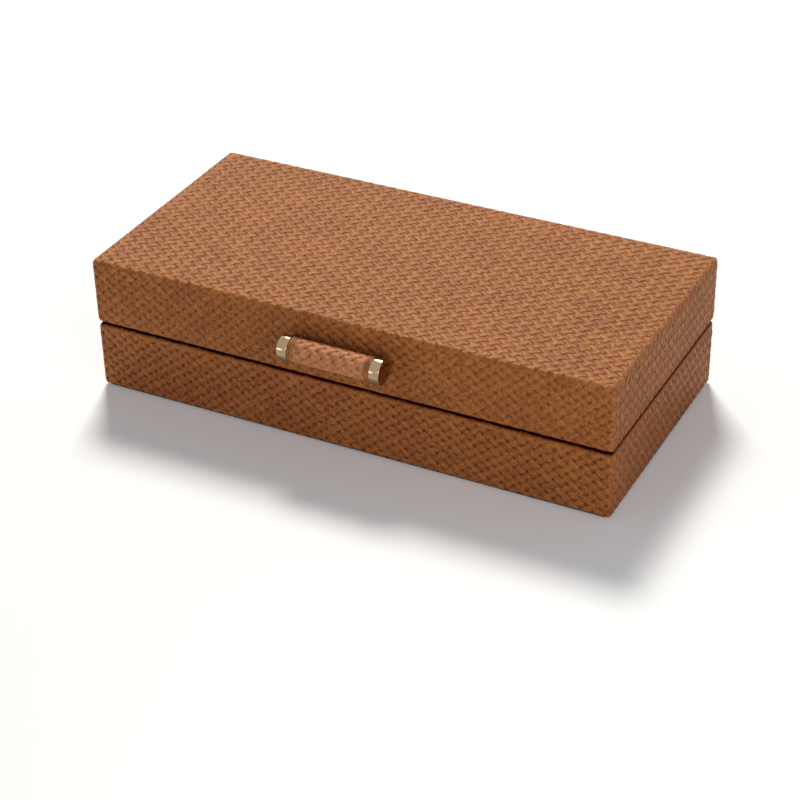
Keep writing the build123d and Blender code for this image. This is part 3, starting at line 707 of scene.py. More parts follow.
@dataclass
class WovenCover:
    """A woven skin over one half of the case, in one sheet that folds down the four sides.

    It is built the same way for both halves: upward tells on which side the flat face lies.
    """

    name: str
    weave: Weave
    length: float
    depth: float
    flat_z: float
    rim_z: float
    inner_length: float
    inner_depth: float
    thickness: float
    proud: float
    # How far up from the rim the seam's shadow is painted.
    seam_shade_reach: float
    smooth_rim: float
    fold_r: float = 1.8 * MM
    rim_drop: float = 2.6 * MM
    rim_turn: float = 1.8 * MM
    smooth_seam: float = 0.45 * MM
    drawn: float = 3.0 * MM
    fold_relief: float = 0.4
    flat_border: float | None = None
    turn_up_z: float | None = None
    turn_up: float = 0.4 * MM
    mortises: tuple[tuple[float, float], ...] = ()
    mortise_depth: float = 1.35 * MM
    mortise_side: float = 0.05 * MM
    spread: float = 20.0 * MM
    search: float = 2.0 * MM

    def __post_init__(self) -> None:
        """Work out the fold lines on the flat sheet."""
        self.height = abs(self.flat_z - self.rim_z)
        self.upward = 1.0 if self.flat_z > self.rim_z else -1.0
        self.fold_u = self.length / 2 - self.fold_r
        self.fold_v = self.depth / 2 - self.fold_r
        self.corner = self.fold_r * QUARTER_TURN / 2
        self.fold_arc = self.fold_r * QUARTER_TURN
        self.wall = self.height - self.fold_r - self.rim_drop
        self.rim_arc = QUARTER_TURN * math.sqrt((self.rim_turn**2 + self.rim_drop**2) / 2)
        self.reach = self.fold_arc + self.wall + self.rim_arc
        self.level = self.proud - self.weave.swing

    def is_flat(self, u: float, v: float) -> bool:
        """Whether a place of the sheet lies inside the fold lines."""
        return abs(u) < self.fold_u and abs(v) < self.fold_v

    def calm(self, u: float, v: float) -> float:
        """How much of the weave is left at a place: none at the corners' seams and on the rim.

        Args:
            u: Place along the case.
            v: Place across the case.

        Returns:
            The share, 0 to 1.
        """
        past_u, past_v = abs(u) - self.fold_u, abs(v) - self.fold_v
        if past_u <= 0 and past_v <= 0:
            return 1.0
        s, extra = max(past_u, past_v), max(min(past_u, past_v), 0.0)
        seam = min(s, self.corner) - extra
        rim = (self.reach - s - 0.5 * self.smooth_rim) / self.smooth_rim
        return min(1.0, max(0.0, min(seam / self.smooth_seam, rim)))

    def pressed(self, u: float, v: float) -> float:
        """How much of the relief is left at a place, where the skin is drawn tight over a fold.

        Args:
            u: Place along the case.
            v: Place across the case.

        Returns:
            The share, 0 to 1.
        """
        past = max(abs(u) - self.fold_u, abs(v) - self.fold_v)
        share = min(1.0, abs(past - self.fold_arc / 2) / self.drawn)
        return self.fold_relief + (1.0 - self.fold_relief) * share

    def cleared(self, place: Vector) -> Vector:
        """Keep a point of the rim out of the hinges' mortises at the back.

        Args:
            place: The point.

        Returns:
            The same point, set back to the mortise's floor if it lay in one.
        """
        side = self.mortise_side / 2
        floor = self.rim_z + self.upward * self.mortise_depth
        inside = place.y > 0 and any(
            low + side < place.x < high - side for low, high in self.mortises
        )
        if inside and self.upward * (place.z - floor) < 0:
            place.z = floor
        return place

    def profile(self, s: float) -> tuple[float, float, float, float]:
        """Follow the sheet from the fold line down the wall and round the rim.

        Args:
            s: Length along the sheet from the fold line.

        Returns:
            How far out and how far down from the fold line, and the outward and upward
            parts of the surface's direction.
        """
        if s <= self.fold_arc:
            turn = s / self.fold_r
            sine, cosine = math.sin(turn), math.cos(turn)
            return self.fold_r * sine, self.fold_r * (1 - cosine), sine, cosine
        if s <= self.fold_arc + self.wall:
            return self.fold_r, self.fold_r + s - self.fold_arc, 1.0, 0.0
        turn = min((s - self.fold_arc - self.wall) / self.rim_arc, 1.0) * QUARTER_TURN
        out = self.fold_r - self.rim_turn * (1 - math.cos(turn))
        down = self.height - self.rim_drop * (1 - math.sin(turn))
        facing = Vector((math.cos(turn) * self.rim_drop, -math.sin(turn) * self.rim_turn))
        facing.normalize()
        return out, down, facing.x, facing.y

    def fold(self, u: float, v: float, lift: float) -> Vector:
        """Put a place of the flat sheet on the case.

        Args:
            u: Place along the case.
            v: Place across the case.
            lift: Height of the weave there.

        Returns:
            The point in space.
        """
        past_u, past_v = abs(u) - self.fold_u, abs(v) - self.fold_v
        side_u, side_v = math.copysign(1.0, u), math.copysign(1.0, v)
        lift = self.level + (lift - self.level) * self.calm(u, v) * self.pressed(u, v)
        if past_u <= 0 and past_v <= 0:
            return Vector((u, v, self.flat_z + self.upward * lift))
        to_front = past_v >= past_u
        s, extra = (past_v, past_u) if to_front else (past_u, past_v)
        extra = max(extra, 0.0)
        turn = QUARTER_TURN / 2 * extra / max(min(s, self.corner), 1e-9)
        out, down, facing_out, facing_up = self.profile(s)
        out += lift * facing_out
        z = self.flat_z - self.upward * down + self.upward * lift * max(facing_up, 0.0)
        if to_front:
            x = min(abs(u), self.fold_u) + out * math.sin(turn)
            y = self.fold_v + out * math.cos(turn)
        else:
            x = self.fold_u + out * math.cos(turn)
            y = min(abs(v), self.fold_v) + out * math.sin(turn)
        return Vector((side_u * x, side_v * y, z))

    def lattice(self) -> Mesh:
        """Lay out the flat sheet, a little larger than the cover.

        Returns:
            The sheet, with its strand coordinates in the layers a and b.
        """
        weave = self.weave
        far_u, far_v = self.fold_u + self.reach, self.fold_v + self.reach
        half = math.ceil(far_u / weave.pitch_u + far_v / weave.pitch_v) + 1
        rng = random.Random(weave.seed)
        stray_a = [rng.uniform(-weave.stray, weave.stray) for _ in range(2 * half + 1)]
        stray_b = [rng.uniform(-weave.stray, weave.stray) for _ in range(2 * half + 1)]
        pace = weave.wander_pace

        def shift(a: float, b: float) -> tuple[float, float]:
            """How far the strips stray at a place.

            Args:
                a: Strand coordinate of the first family.
                b: Strand coordinate of the second family.

            Returns:
                The straying of both families, in strips.
            """
            wander = weave.wander * noise.noise(Vector((a * pace, b * pace, weave.seed)))
            along, across = self.between(stray_a, a + half), self.between(stray_b, b + half)
            return along + wander, across - wander

        sheet = weave.lay_out(half, shift)
        margin = 2 * weave.pitch_u
        outside = []
        for vert in sheet.verts:
            u, v = abs(vert.co.x) - margin, abs(vert.co.y) - margin
            if u > far_u or v > far_v or (u > self.fold_u and v > self.fold_v):
                outside.append(vert)
        bmesh.ops.delete(sheet, geom=outside, context="VERTS")
        return sheet

    def between(self, strays: list[float], place: float) -> float:
        """Straying of a strip's edge, evened out between one line and the next.

        Args:
            strays: How far each line strays.
            place: Strand coordinate, counted from the first line.

        Returns:
            The straying in strips.
        """
        low = min(max(int(math.floor(place)), 0), len(strays) - 2)
        share = min(max(place - low, 0.0), 1.0)
        return strays[low] * (1 - share) + strays[low + 1] * share

    def trim(self, sheet: Mesh) -> None:
        """Cut the sheet to its cross shape, with cuts along the folds.

        Args:
            sheet: The flat sheet.
        """
        for sign in SIGNS:
            flaps = (Vector((sign, 0, 0)), self.fold_u), (Vector((0, sign, 0)), self.fold_v)
            for facing, fold in flaps:
                bisect(sheet, facing * (fold + self.reach), facing, clear=True)
                bisect(sheet, facing * (fold + self.corner), facing)
                bisect(sheet, facing * fold, facing)
        self.cut_corner_squares(sheet)
        self.cut_mortise_sides(sheet)
        limit_u, limit_v = self.fold_u + self.corner, self.fold_v + self.corner
        open_u = open_v = 0.0
        if self.flat_border is not None:
            open_u, open_v = self.fold_u - self.flat_border, self.fold_v - self.flat_border
        spare = []
        for face in sheet.faces:
            middle = face.calc_center_median()
            u, v = abs(middle.x), abs(middle.y)
            if (u > limit_u and v > limit_v) or (u < open_u and v < open_v):
                spare.append(face)
        bmesh.ops.delete(sheet, geom=spare, context="FACES")

    def cut_corner_squares(self, sheet: Mesh) -> None:
        """Cut each small corner square along its diagonal, where the two flaps meet.

        Args:
            sheet: The flat sheet.
        """
        for sign_u, sign_v in product(SIGNS, SIGNS):
            corner = Vector((sign_u * self.fold_u, sign_v * self.fold_v, 0))
            faces = []
            for face in sheet.faces:
                offset = face.calc_center_median() - corner
                if 0 < sign_u * offset.x < self.corner and 0 < sign_v * offset.y < self.corner:
                    faces.append(face)
            bisect(sheet, corner, Vector((sign_u, -sign_v, 0)), faces)

    def cut_mortise_sides(self, sheet: Mesh) -> None:
        """Cut the back flap twice along each side of a mortise, so that its sides stand upright.

        Args:
            sheet: The flat sheet.
        """
        for low, high in self.mortises:
            for x in (low, low + self.mortise_side, high - self.mortise_side, high):
                faces = []
                for face in sheet.faces:
                    middle = face.calc_center_median()
                    on_back = middle.y > self.fold_v + self.corner
                    if on_back and abs(middle.x - x) < self.weave.pitch_u:
                        faces.append(face)
                bisect(sheet, Vector((x, 0, 0)), Vector((1, 0, 0)), faces)

    def match_seams(self, sheet: Mesh) -> None:
        """Give both sides of each upright corner the same points, so that they close.

        Args:
            sheet: The flat sheet.
        """
        for sign_u, sign_v in product(SIGNS, SIGNS):
            front = self.seam_edges(sheet, sign_u, sign_v, True)
            side = self.seam_edges(sheet, sign_u, sign_v, False)
            stops = sorted(self.stops(front, True) | self.stops(side, False))
            self.split_at(front, stops, True)
            self.split_at(side, stops, False)

    def flap(self, front: bool) -> tuple[int, float]:
        """The axis across a flap's fold, and where the fold lies on it."""
        return (1, self.fold_v) if front else (0, self.fold_u)

    def seam_edges(self, sheet: Mesh, sign_u: float, sign_v: float, front: bool) -> list[Edge]:
        """Find the open edges of one flap along one corner.

        Args:
            sheet: The trimmed sheet.
            sign_u: Which end of the case the corner is at.
            sign_v: Whether the corner is at the back or the front.
            front: Whether the flap is a front or back one, not an end.

        Returns:
            The edges.
        """
        found = []
        for edge in sheet.edges:
            if not edge.is_boundary:
                continue
            middle = (edge.verts[0].co + edge.verts[1].co) / 2
            past_u, past_v = sign_u * middle.x - self.fold_u, sign_v * middle.y - self.fold_v
            lateral, along = (past_u, past_v) if front else (past_v, past_u)
            if abs(lateral - self.corner) < CLOSE / 2 and along > self.corner - 1e-7:
                found.append(edge)
        return found

    def stops(self, edges: list[Edge], front: bool) -> set[float]:
        """How far down the flap each point of a seam lies."""
        axis, fold = self.flap(front)
        return {round(abs(vert.co[axis]) - fold, 6) for edge in edges for vert in edge.verts}

    def split_at(self, edges: list[Edge], stops: list[float], front: bool) -> None:
        """Add the missing points to one side of a seam.

        Args:
            edges: The seam's edges.
            stops: Where points belong, down the flap.
            front: Whether the flap is a front or back one, not an end.
        """
        axis, fold = self.flap(front)
        for edge in edges:
            start, last = sorted(edge.verts, key=lambda vert: abs(vert.co[axis]))
            low, high = abs(start.co[axis]) - fold, abs(last.co[axis]) - fold
            here = edge
            for stop in stops:
                if low + CLOSE < stop < high - CLOSE:
                    span = abs(last.co[axis]) - abs(start.co[axis])
                    share = (stop + fold - abs(start.co[axis])) / span
                    _, start = bmesh.utils.edge_split(here, start, share)
                    here = next(link for link in start.link_edges if link.other_vert(start) is last)

    def painted_seam_shade(self, u: float, v: float) -> float:
        """Painted shadow of the seam on the turned-in edge, at a place of the flat sheet."""
        past = max(abs(u) - self.fold_u, abs(v) - self.fold_v)
        return 2.0 * (1.0 - (self.reach - past) / self.seam_shade_reach)

    def close(self, cover: Mesh) -> None:
        """Turn the rim in over the boards' edges and give the skin its inner side.

        Args:
            cover: The folded skin.
        """
        rim_z = self.rim_z
        inside_z = rim_z + self.upward * self.thickness
        board_u, board_v = self.length / 2 - self.thickness, self.depth / 2 - self.thickness
        under_z = self.flat_z - self.upward * self.thickness
        loop = [
            edge
            for edge in cover.edges
            if edge.is_boundary and all(abs(vert.co.z - rim_z) < self.search for vert in edge.verts)
        ]
        inner_u, inner_v = self.inner_length / 2, self.inner_depth / 2
        steps = [(inner_u, inner_v, rim_z)]
        if self.turn_up_z is not None:
            face_u, face_v = inner_u - self.turn_up, inner_v - self.turn_up
            steps = [
                (face_u, face_v, rim_z),
                (face_u, face_v, self.turn_up_z),
                (inner_u, inner_v, self.turn_up_z),
            ]
        steps += [
            (inner_u, inner_v, inside_z),
            (board_u, board_v, inside_z),
            (board_u, board_v, under_z),
        ]
        for number, (half_u, half_v, z) in enumerate(steps):
            loop = self.step(cover, loop, half_u, half_v, z)
            if number == 1:
                loop = self.thin_out(cover, loop, half_u, half_v)
        if self.flat_border is None:
            bmesh.ops.triangle_fill(cover, edges=loop, use_beauty=True)
            return
        limit_v = self.fold_v - self.flat_border + self.search
        opening = [
            edge
            for edge in cover.edges
            if edge.is_boundary and edge not in loop and abs(edge.verts[0].co.y) < limit_v
        ]
        opening = self.step(cover, opening, None, None, under_z)
        bmesh.ops.triangle_fill(cover, edges=loop + opening, use_beauty=True)

    def step(
        self,
        cover: Mesh,
        loop: list[Edge],
        half_u: float | None,
        half_v: float | None,
        z: float,
    ) -> list[Edge]:
        """Extrude an open loop to a rectangle at a height.

        Args:
            cover: The skin.
            loop: The open edges.
            half_u: Half the rectangle's length, or None to go straight.
            half_v: Half the rectangle's depth, or None to go straight.
            z: The new height.

        Returns:
            The new open edges.
        """
        painted_shade_layer = cover.verts.layers.float["painted_shade"]
        verts, edges = extrude(cover, loop)
        for vert in verts:
            x, y = vert.co.x, vert.co.y
            # The inner band of the turned-in rim is painted in full shade, for the seam's shadow.
            vert[painted_shade_layer] = 1.0
            if half_u is not None and half_v is not None:
                on_front = abs(y) - self.fold_v >= abs(x) - self.fold_u
                if on_front or abs(y) > half_v:
                    y = math.copysign(half_v, y)
                if not on_front or abs(x) > half_u:
                    x = math.copysign(half_u, x)
            vert.co = self.cleared(Vector((x, y, z)))
        return edges

    def thin_out(self, cover: Mesh, loop: list[Edge], half_u: float, half_v: float) -> list[Edge]:
        """Draw the points of an open loop that is out of sight together, to a few on each side.

        Args:
            cover: The skin.
            loop: The open edges, on a rectangle.
            half_u: Half the rectangle's length.
            half_v: Half the rectangle's depth.

        Returns:
            The open edges that are left.
        """
        verts = list(dict.fromkeys(vert for edge in loop for vert in edge.verts))
        for vert in verts:
            on_front = abs(abs(vert.co.y) - half_v) < CLOSE / 2
            axis, half = (0, half_u) if on_front else (1, half_v)
            along = vert.co[axis]
            if abs(along) > half - self.spread / 2:
                vert.co[axis] = math.copysign(half, along)
            else:
                vert.co[axis] = round(along / self.spread) * self.spread
        bmesh.ops.remove_doubles(cover, verts=verts, dist=CLOSE)
        left = {vert for vert in verts if vert.is_valid}
        return [edge for edge in cover.edges if edge.is_boundary and left.issuperset(edge.verts)]

    def build(self, finish: Material) -> Piece:
        """Weave, cut, fold and close the cover.

        Args:
            finish: The strips' material.

        Returns:
            The cover.
        """
        cover = self.lattice()
        self.trim(cover)
        self.match_seams(cover)
        paint_strips(cover, self.weave, self.calm, self.painted_seam_shade, self.is_flat)
        layer_a, layer_b = cover.verts.layers.float["a"], cover.verts.layers.float["b"]
        pace = self.weave.uneven_pace
        for vert in cover.verts:
            u, v = vert.co.x, vert.co.y
            height = self.weave.raised(vert[layer_a], vert[layer_b], self.is_flat(u, v))
            uneven = noise.noise(Vector((u * pace, v * pace, self.weave.seed)))
            height += self.weave.unevenness * uneven
            vert.co = self.cleared(self.fold(u, v, self.proud + height))
        bmesh.ops.remove_doubles(cover, verts=cover.verts[:], dist=CLOSE)
        self.close(cover)
        bmesh.ops.remove_doubles(cover, verts=cover.verts[:], dist=CLOSE)
        bmesh.ops.recalc_face_normals(cover, faces=cover.faces[:])
        piece = link_mesh(self.name, cover, finish)
        triangles = sum(len(face.vertices) - 2 for face in piece.data.polygons)
        log.info("%s has %d triangles", self.name, triangles)
        return piece


@dataclass
class BarHandle:
    """A leather-covered bar with polished caps, read from the CAD pieces that it dresses."""

    sides: int = 72
    cap_edge: float = 0.7 * MM
    bead: float = 0.6 * MM
    weave_along: int = 6
    weave_around: int = 7
    grip_fade: float = 0.5 * MM
    grip_sink: float = 0.1 * MM

    def lathe(self, name: str, outline: Outline, finish: Material) -> Piece:
        """Spin an outline round the bar's axis.

        Args:
            name: Name of the piece.
            outline: Places along X and radii, in metres.
            finish: Its material.

        Returns:
            The turned piece.
        """
        low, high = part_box("handle_core")
        centre = Vector((0, (low.y + high.y) / 2, (low.z + high.z) / 2))
        turned = bmesh.new()
        verts = [turned.verts.new((x, centre.y, centre.z + radius)) for x, radius in outline]
        edges = [turned.edges.new(pair) for pair in zip(verts, verts[1:])]
        bmesh.ops.spin(
            turned,
            geom=verts + edges,
            cent=centre,
            axis=(1, 0, 0),
            angle=math.tau,
            steps=self.sides,
            use_merge=True,
        )
        bmesh.ops.remove_doubles(turned, verts=turned.verts[:], dist=CLOSE / 2)
        bmesh.ops.recalc_face_normals(turned, faces=turned.faces[:])
        return link_mesh(name, turned, finish)

    def rounded(self, start: float, end: float, radius: float, edge: float, steps: int) -> Outline:
        """Draw the outline of a short drum with rounded shoulders, from axis to axis.

        Args:
            start: Where the drum starts along X.
            end: Where it ends.
            radius: Its radius.
            edge: Radius of its shoulders.
            steps: Steps round each shoulder.

        Returns:
            Places along X and radii.
        """
        shoulder = []
        for step in range(steps + 1):
            turn = QUARTER_TURN * step / steps
            shoulder.append((edge * (1 - math.cos(turn)), radius - edge * (1 - math.sin(turn))))
        rising = [(start + along, height) for along, height in shoulder]
        falling = [(end - along, height) for along, height in reversed(shoulder)]
        return [(start, 0.0), *rising, *falling, (end, 0.0)]

    def build_caps(self, finish: Material) -> None:
        """Turn both end caps.

        Args:
            finish: Their metal.
        """
        for hand in HANDS:
            node = f"handle_end_cap_{hand}"
            low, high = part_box(node)
            radius = (high.z - low.z) / 2
            outline = self.rounded(low.x, high.x, radius, self.cap_edge, 6)
            piece = self.lathe(f"end_cap_{hand}", outline, finish)
            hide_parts(node)
            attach(piece, Body.LID.value)

    def build_collars(self, finish: Material) -> None:
        """Turn the two leather collars, each bound with two beads side by side.

        Args:
            finish: Their leather.
        """
        for hand in HANDS:
            node = f"handle_collar_{hand}"
            low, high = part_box(node)
            radius = (high.z - low.z) / 2
            middle = (low.x + high.x) / 2
            first = self.rounded(low.x, middle, radius, self.bead, 4)[:-1]
            second = self.rounded(middle, high.x, radius, self.bead, 4)[1:]
            piece = self.lathe(f"bar_collar_{hand}", first + second, finish)
            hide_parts(node)
            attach(piece, Body.LID.value)

    def build_grip(self, finish: Material) -> None:
        """Wrap the bar in the same woven leather, drawn tighter.

        Args:
            finish: The strips' material.
        """
        node = "handle_leather_grip"
        low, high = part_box(node)
        radius = (high.z - low.z) / 2
        centre_y, centre_z = (low.y + high.y) / 2, (low.z + high.z) / 2
        length, around = high.x - low.x, math.tau * radius
        weave = Weave(
            pitch_u=length / self.weave_along,
            pitch_v=around / self.weave_around,
            climb=0.0,
            swing=0.2 * MM,
            pit=0.34 * MM,
            crown=0.06 * MM,
        )
        sheet = weave.lay_out(self.weave_along + self.weave_around, lambda a, b: (0.0, 0.0))
        for facing, far in ((Vector((1, 0, 0)), length / 2), (Vector((0, 1, 0)), around / 2)):
            for sign in SIGNS:
                bisect(sheet, facing * far * sign, facing * sign, clear=True)
        paint_strips(sheet, weave)
        layer_a, layer_b = sheet.verts.layers.float["a"], sheet.verts.layers.float["b"]
        for vert in sheet.verts:
            x, turn = vert.co.x, vert.co.y / radius
            calm = min(1.0, max(0.0, (length / 2 - abs(x)) / self.grip_fade))
            height = weave.raised(vert[layer_a], vert[layer_b]) + weave.swing
            out = radius + height * calm - self.grip_sink
            vert.co = (x, centre_y - out * math.cos(turn), centre_z + out * math.sin(turn))
        bmesh.ops.remove_doubles(sheet, verts=sheet.verts[:], dist=2 * CLOSE)
        ends = [edge for edge in sheet.edges if edge.is_boundary]
        bmesh.ops.holes_fill(sheet, edges=ends, sides=0)
        bmesh.ops.recalc_face_normals(sheet, faces=sheet.faces[:])
        piece = link_mesh("woven_bar_grip", sheet, finish)
        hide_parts(node)
        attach(piece, Body.LID.value)

    def build(self, woven: Material, plain: Material, gold: Material) -> None:
        """Build the whole handle.

        Args:
            woven: Leather of the grip.
            plain: Leather of the collars.
            gold: Metal of the caps.
        """
        self.build_grip(woven)
        self.build_collars(plain)
        self.build_caps(gold)
        log.info("handle dressed")


@dataclass
class Padding:
    """Swells a sewn cover over its filling, with a short cloth simulation whose result is kept."""

    voxel: float = 2.6 * MM
    pressure: float = 4.0
    frames: int = 20
    reach: float = 1.0 * MM
    glued: float = 1.4 * MM

    def bake(self, piece: Piece) -> None:
        """Put what the modifiers make into the piece's own mesh, and drop them.

        Args:
            piece: The piece.
        """
        graph = bpy.context.evaluated_depsgraph_get()
        mesh = bpy.data.meshes.new_from_object(piece.evaluated_get(graph), depsgraph=graph)
        plain = piece.data
        piece.modifiers.clear()
        piece.data = mesh
        bpy.data.meshes.remove(plain)

    def swell(self, piece: Piece) -> None:
        """Even out the mesh, blow it up and smooth it once.

        Args:
            piece: A closed cover, a little smaller than it ends up, glued down along its bottom.
        """
        even = piece.modifiers.new("even", "REMESH")
        even.mode = "VOXEL"
        even.voxel_size = self.voxel
        self.bake(piece)
        start = [vert.co.copy() for vert in piece.data.vertices]
        bottom = min(place.z for place in start)
        held = [index for index, place in enumerate(start) if place.z < bottom + self.glued]
        piece.vertex_groups.new(name="glued").add(held, 1.0, "ADD")
        cloth = piece.modifiers.new("swell", "CLOTH")
        cloth.settings.vertex_group_mass = "glued"
        cloth.settings.use_pressure = True
        cloth.settings.uniform_pressure_force = self.pressure
        cloth.settings.effector_weights.gravity = 0.0
        cloth.point_cache.frame_end = self.frames
        for number in range(1, self.frames + 1):
            bpy.context.scene.frame_set(number)
        self.bake(piece)
        bpy.context.scene.frame_set(1)
        piece.vertex_groups.clear()
        for vert, place in zip(piece.data.vertices, start):
            move = vert.co - place
            if move.length > self.reach:
                vert.co = place + move * (self.reach / move.length)
        smooth = piece.modifiers.new("smooth", "SUBSURF")
        smooth.levels = smooth.render_levels = 1
        self.bake(piece)
        piece.data.shade_smooth()


@dataclass
class RingRolls:
    """Padded rolls that hold rings between them."""

    count: int = 5
    sides: int = 40
    rings: int = 36
    drawn_in: float = 0.66
    pleats: int = 15
    pleat_depth: float = 0.28 * MM
    pleat_reach: float = 5.0 * MM
    pleat_stray: float = 2.0
    ripple: float = 0.2 * MM
    glued: float = 1.0 * MM

    def tube(self, node: str, slack: float) -> Mesh:
        """Lay a tube with drawn-in ends along the CAD roll, smaller by what it will swell.

        Args:
            node: The CAD roll.
            slack: How much smaller it is.

        Returns:
            The closed tube.
        """
        low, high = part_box(node)
        radius = (high.y - low.y) / 2
        centre = Vector(((low.x + high.x) / 2, (low.y + high.y) / 2, high.z - radius))
        half = (high.x - low.x) / 2 - slack
        tube = bmesh.new()
        bmesh.ops.create_circle(tube, cap_ends=False, radius=radius - slack, segments=self.sides)
        upright = Matrix.Rotation(QUARTER_TURN, 3, "Y")
        bmesh.ops.rotate(tube, verts=tube.verts[:], cent=(0, 0, 0), matrix=upright)
        bmesh.ops.translate(tube, verts=tube.verts[:], vec=centre - Vector((half, 0, 0)))
        first = edges = tube.edges[:]
        for _ in range(self.rings):
            verts, edges = extrude(tube, edges)
            bmesh.ops.translate(tube, verts=verts, vec=(2 * half / self.rings, 0, 0))
        bmesh.ops.edgeloop_fill(tube, edges=edges)
        bmesh.ops.edgeloop_fill(tube, edges=first)
        for vert in tube.verts:
            share = min(abs(vert.co.x - centre.x) / half, 1.0)
            swell = self.drawn_in + (1 - self.drawn_in) * (1 - share**8) ** 0.5
            vert.co.y = centre.y + (vert.co.y - centre.y) * swell
            vert.co.z = max(centre.z + (vert.co.z - centre.z) * swell, low.z)
        bmesh.ops.recalc_face_normals(tube, faces=tube.faces[:])
        return tube

    def pleat(self, piece: Piece, node: str) -> None:
        """Gather the cover in small pleats where it is drawn in at the ends.

        Args:
            piece: The swollen roll.
            node: The CAD roll.
        """
        low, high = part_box(node)
        radius = (high.y - low.y) / 2
        axis_y, axis_z = (low.y + high.y) / 2, high.z - radius
        for vert in piece.data.vertices:
            end = min(vert.co.x - low.x, high.x - vert.co.x)
            out = Vector((0, vert.co.y - axis_y, vert.co.z - axis_z))
            if vert.co.z < low.z + self.glued or out.length < 0.3 * radius:
                continue
            fade = math.exp(-max(end, 0.0) / self.pleat_reach)
            stray = self.pleat_stray * noise.noise(vert.co * 60)
            wave = math.cos(self.pleats * math.atan2(out.z, out.y) + stray)
            ripple = min(self.ripple * noise.noise(vert.co * 110), 0.0)
            vert.co += out.normalized() * (self.pleat_depth * fade * (wave - 1.0) / 2 + ripple)

    def build(self, finish: Material) -> None:
        """Make every roll.

        Args:
            finish: The suede.
        """
        padding = Padding()
        for number in range(1, self.count + 1):
            node = f"ring_roll_{number}"
            piece = link_mesh(f"padded_{node}", self.tube(node, padding.reach), finish)
            padding.swell(piece)
            self.pleat(piece, node)
            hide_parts(node)
            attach(piece, Body.BASE.value)
        log.info("ring rolls padded")


@dataclass
class PaddedFloor:
    """The tray floor: thin wadding under suede, pressed down along every wall, divider and roll."""

    spacing: float = 1.8 * MM
    crown: float = 0.9 * MM
    sink: float = 0.15 * MM
    ease: float = 9.0 * MM
    fullness: float = 0.8
    lumps: float = 0.25
    lump_pace: float = 45.0

    def clearance(self, x: float, y: float, walls: list[tuple[Vector, Vector]]) -> float:
        """Distance from a place to the nearest piece that stands on the floor.

        Args:
            x: Place along the case.
            y: Place across the case.
            walls: The boxes of the standing pieces.

        Returns:
            The distance in metres.
        """
        nearest = math.inf
        for low, high in walls:
            away_x = max(low.x - x, x - high.x, 0.0)
            away_y = max(low.y - y, y - high.y, 0.0)
            nearest = min(nearest, math.hypot(away_x, away_y))
        return nearest

    def build(self, finish: Material) -> None:
        """Args:
            finish: The suede.
        """
        low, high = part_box("floor_lining")
        nodes = [part["node"] for part in frame["record"]["subparts"]]
        standing = [node for node in nodes if "divider" in node or node.startswith("ring_roll")]
        walls = [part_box(node) for node in standing]
        size = high - low
        columns, rows = round(size.x / self.spacing), round(size.y / self.spacing)
        pad = bmesh.new()
        bmesh.ops.create_grid(pad, x_segments=columns, y_segments=rows, size=1.0)
        for vert in pad.verts:
            x = (low.x + high.x) / 2 + vert.co.x * size.x / 2
            y = (low.y + high.y) / 2 + vert.co.y * size.y / 2
            border = min(x - low.x, high.x - x, y - low.y, high.y - y)
            room = min(border, self.clearance(x, y, walls))
            puff = math.sin(QUARTER_TURN * min(room / self.ease, 1.0)) ** self.fullness
            lump = noise.noise(Vector((x * self.lump_pace, y * self.lump_pace, 3.0)))
            puff *= 1.0 + self.lumps * lump
            vert.co = (x, y, high.z - self.sink + self.crown * puff)
        verts, _ = extrude(pad, [edge for edge in pad.edges if edge.is_boundary])
        for vert in verts:
            vert.co.z = low.z
        bottom = [edge for edge in pad.edges if edge.is_boundary]
        bmesh.ops.holes_fill(pad, edges=bottom, sides=0)
        bmesh.ops.recalc_face_normals(pad, faces=pad.faces[:])
        piece = link_mesh("padded_tray_floor", pad, finish)
        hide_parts("floor_lining")
        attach(piece, Body.BASE.value)


@dataclass(frozen=True)
class SoftBox:
    """A rectangular lamp that looks at the case and isn't seen itself."""

    name: str
    place: tuple[float, float, float]
    size: tuple[float, float]
    power: float
    colour: Colour
    target: tuple[float, float, float] = (0.0, 0.0, 0.05)

    def build(self) -> None:
        """Hang the lamp."""
        data = bpy.data.lights.new(self.name, "AREA")
        data.shape = "RECTANGLE"
        data.size, data.size_y = self.size
        data.energy = self.power
        data.color = self.colour
        lamp = put_in_scene(self.name, data)
        lamp.location = self.place
        lamp.visible_camera = False
        facing = Vector(self.target) - Vector(self.place)
        lamp.rotation_euler = facing.to_track_quat("-Z", "Y").to_euler()


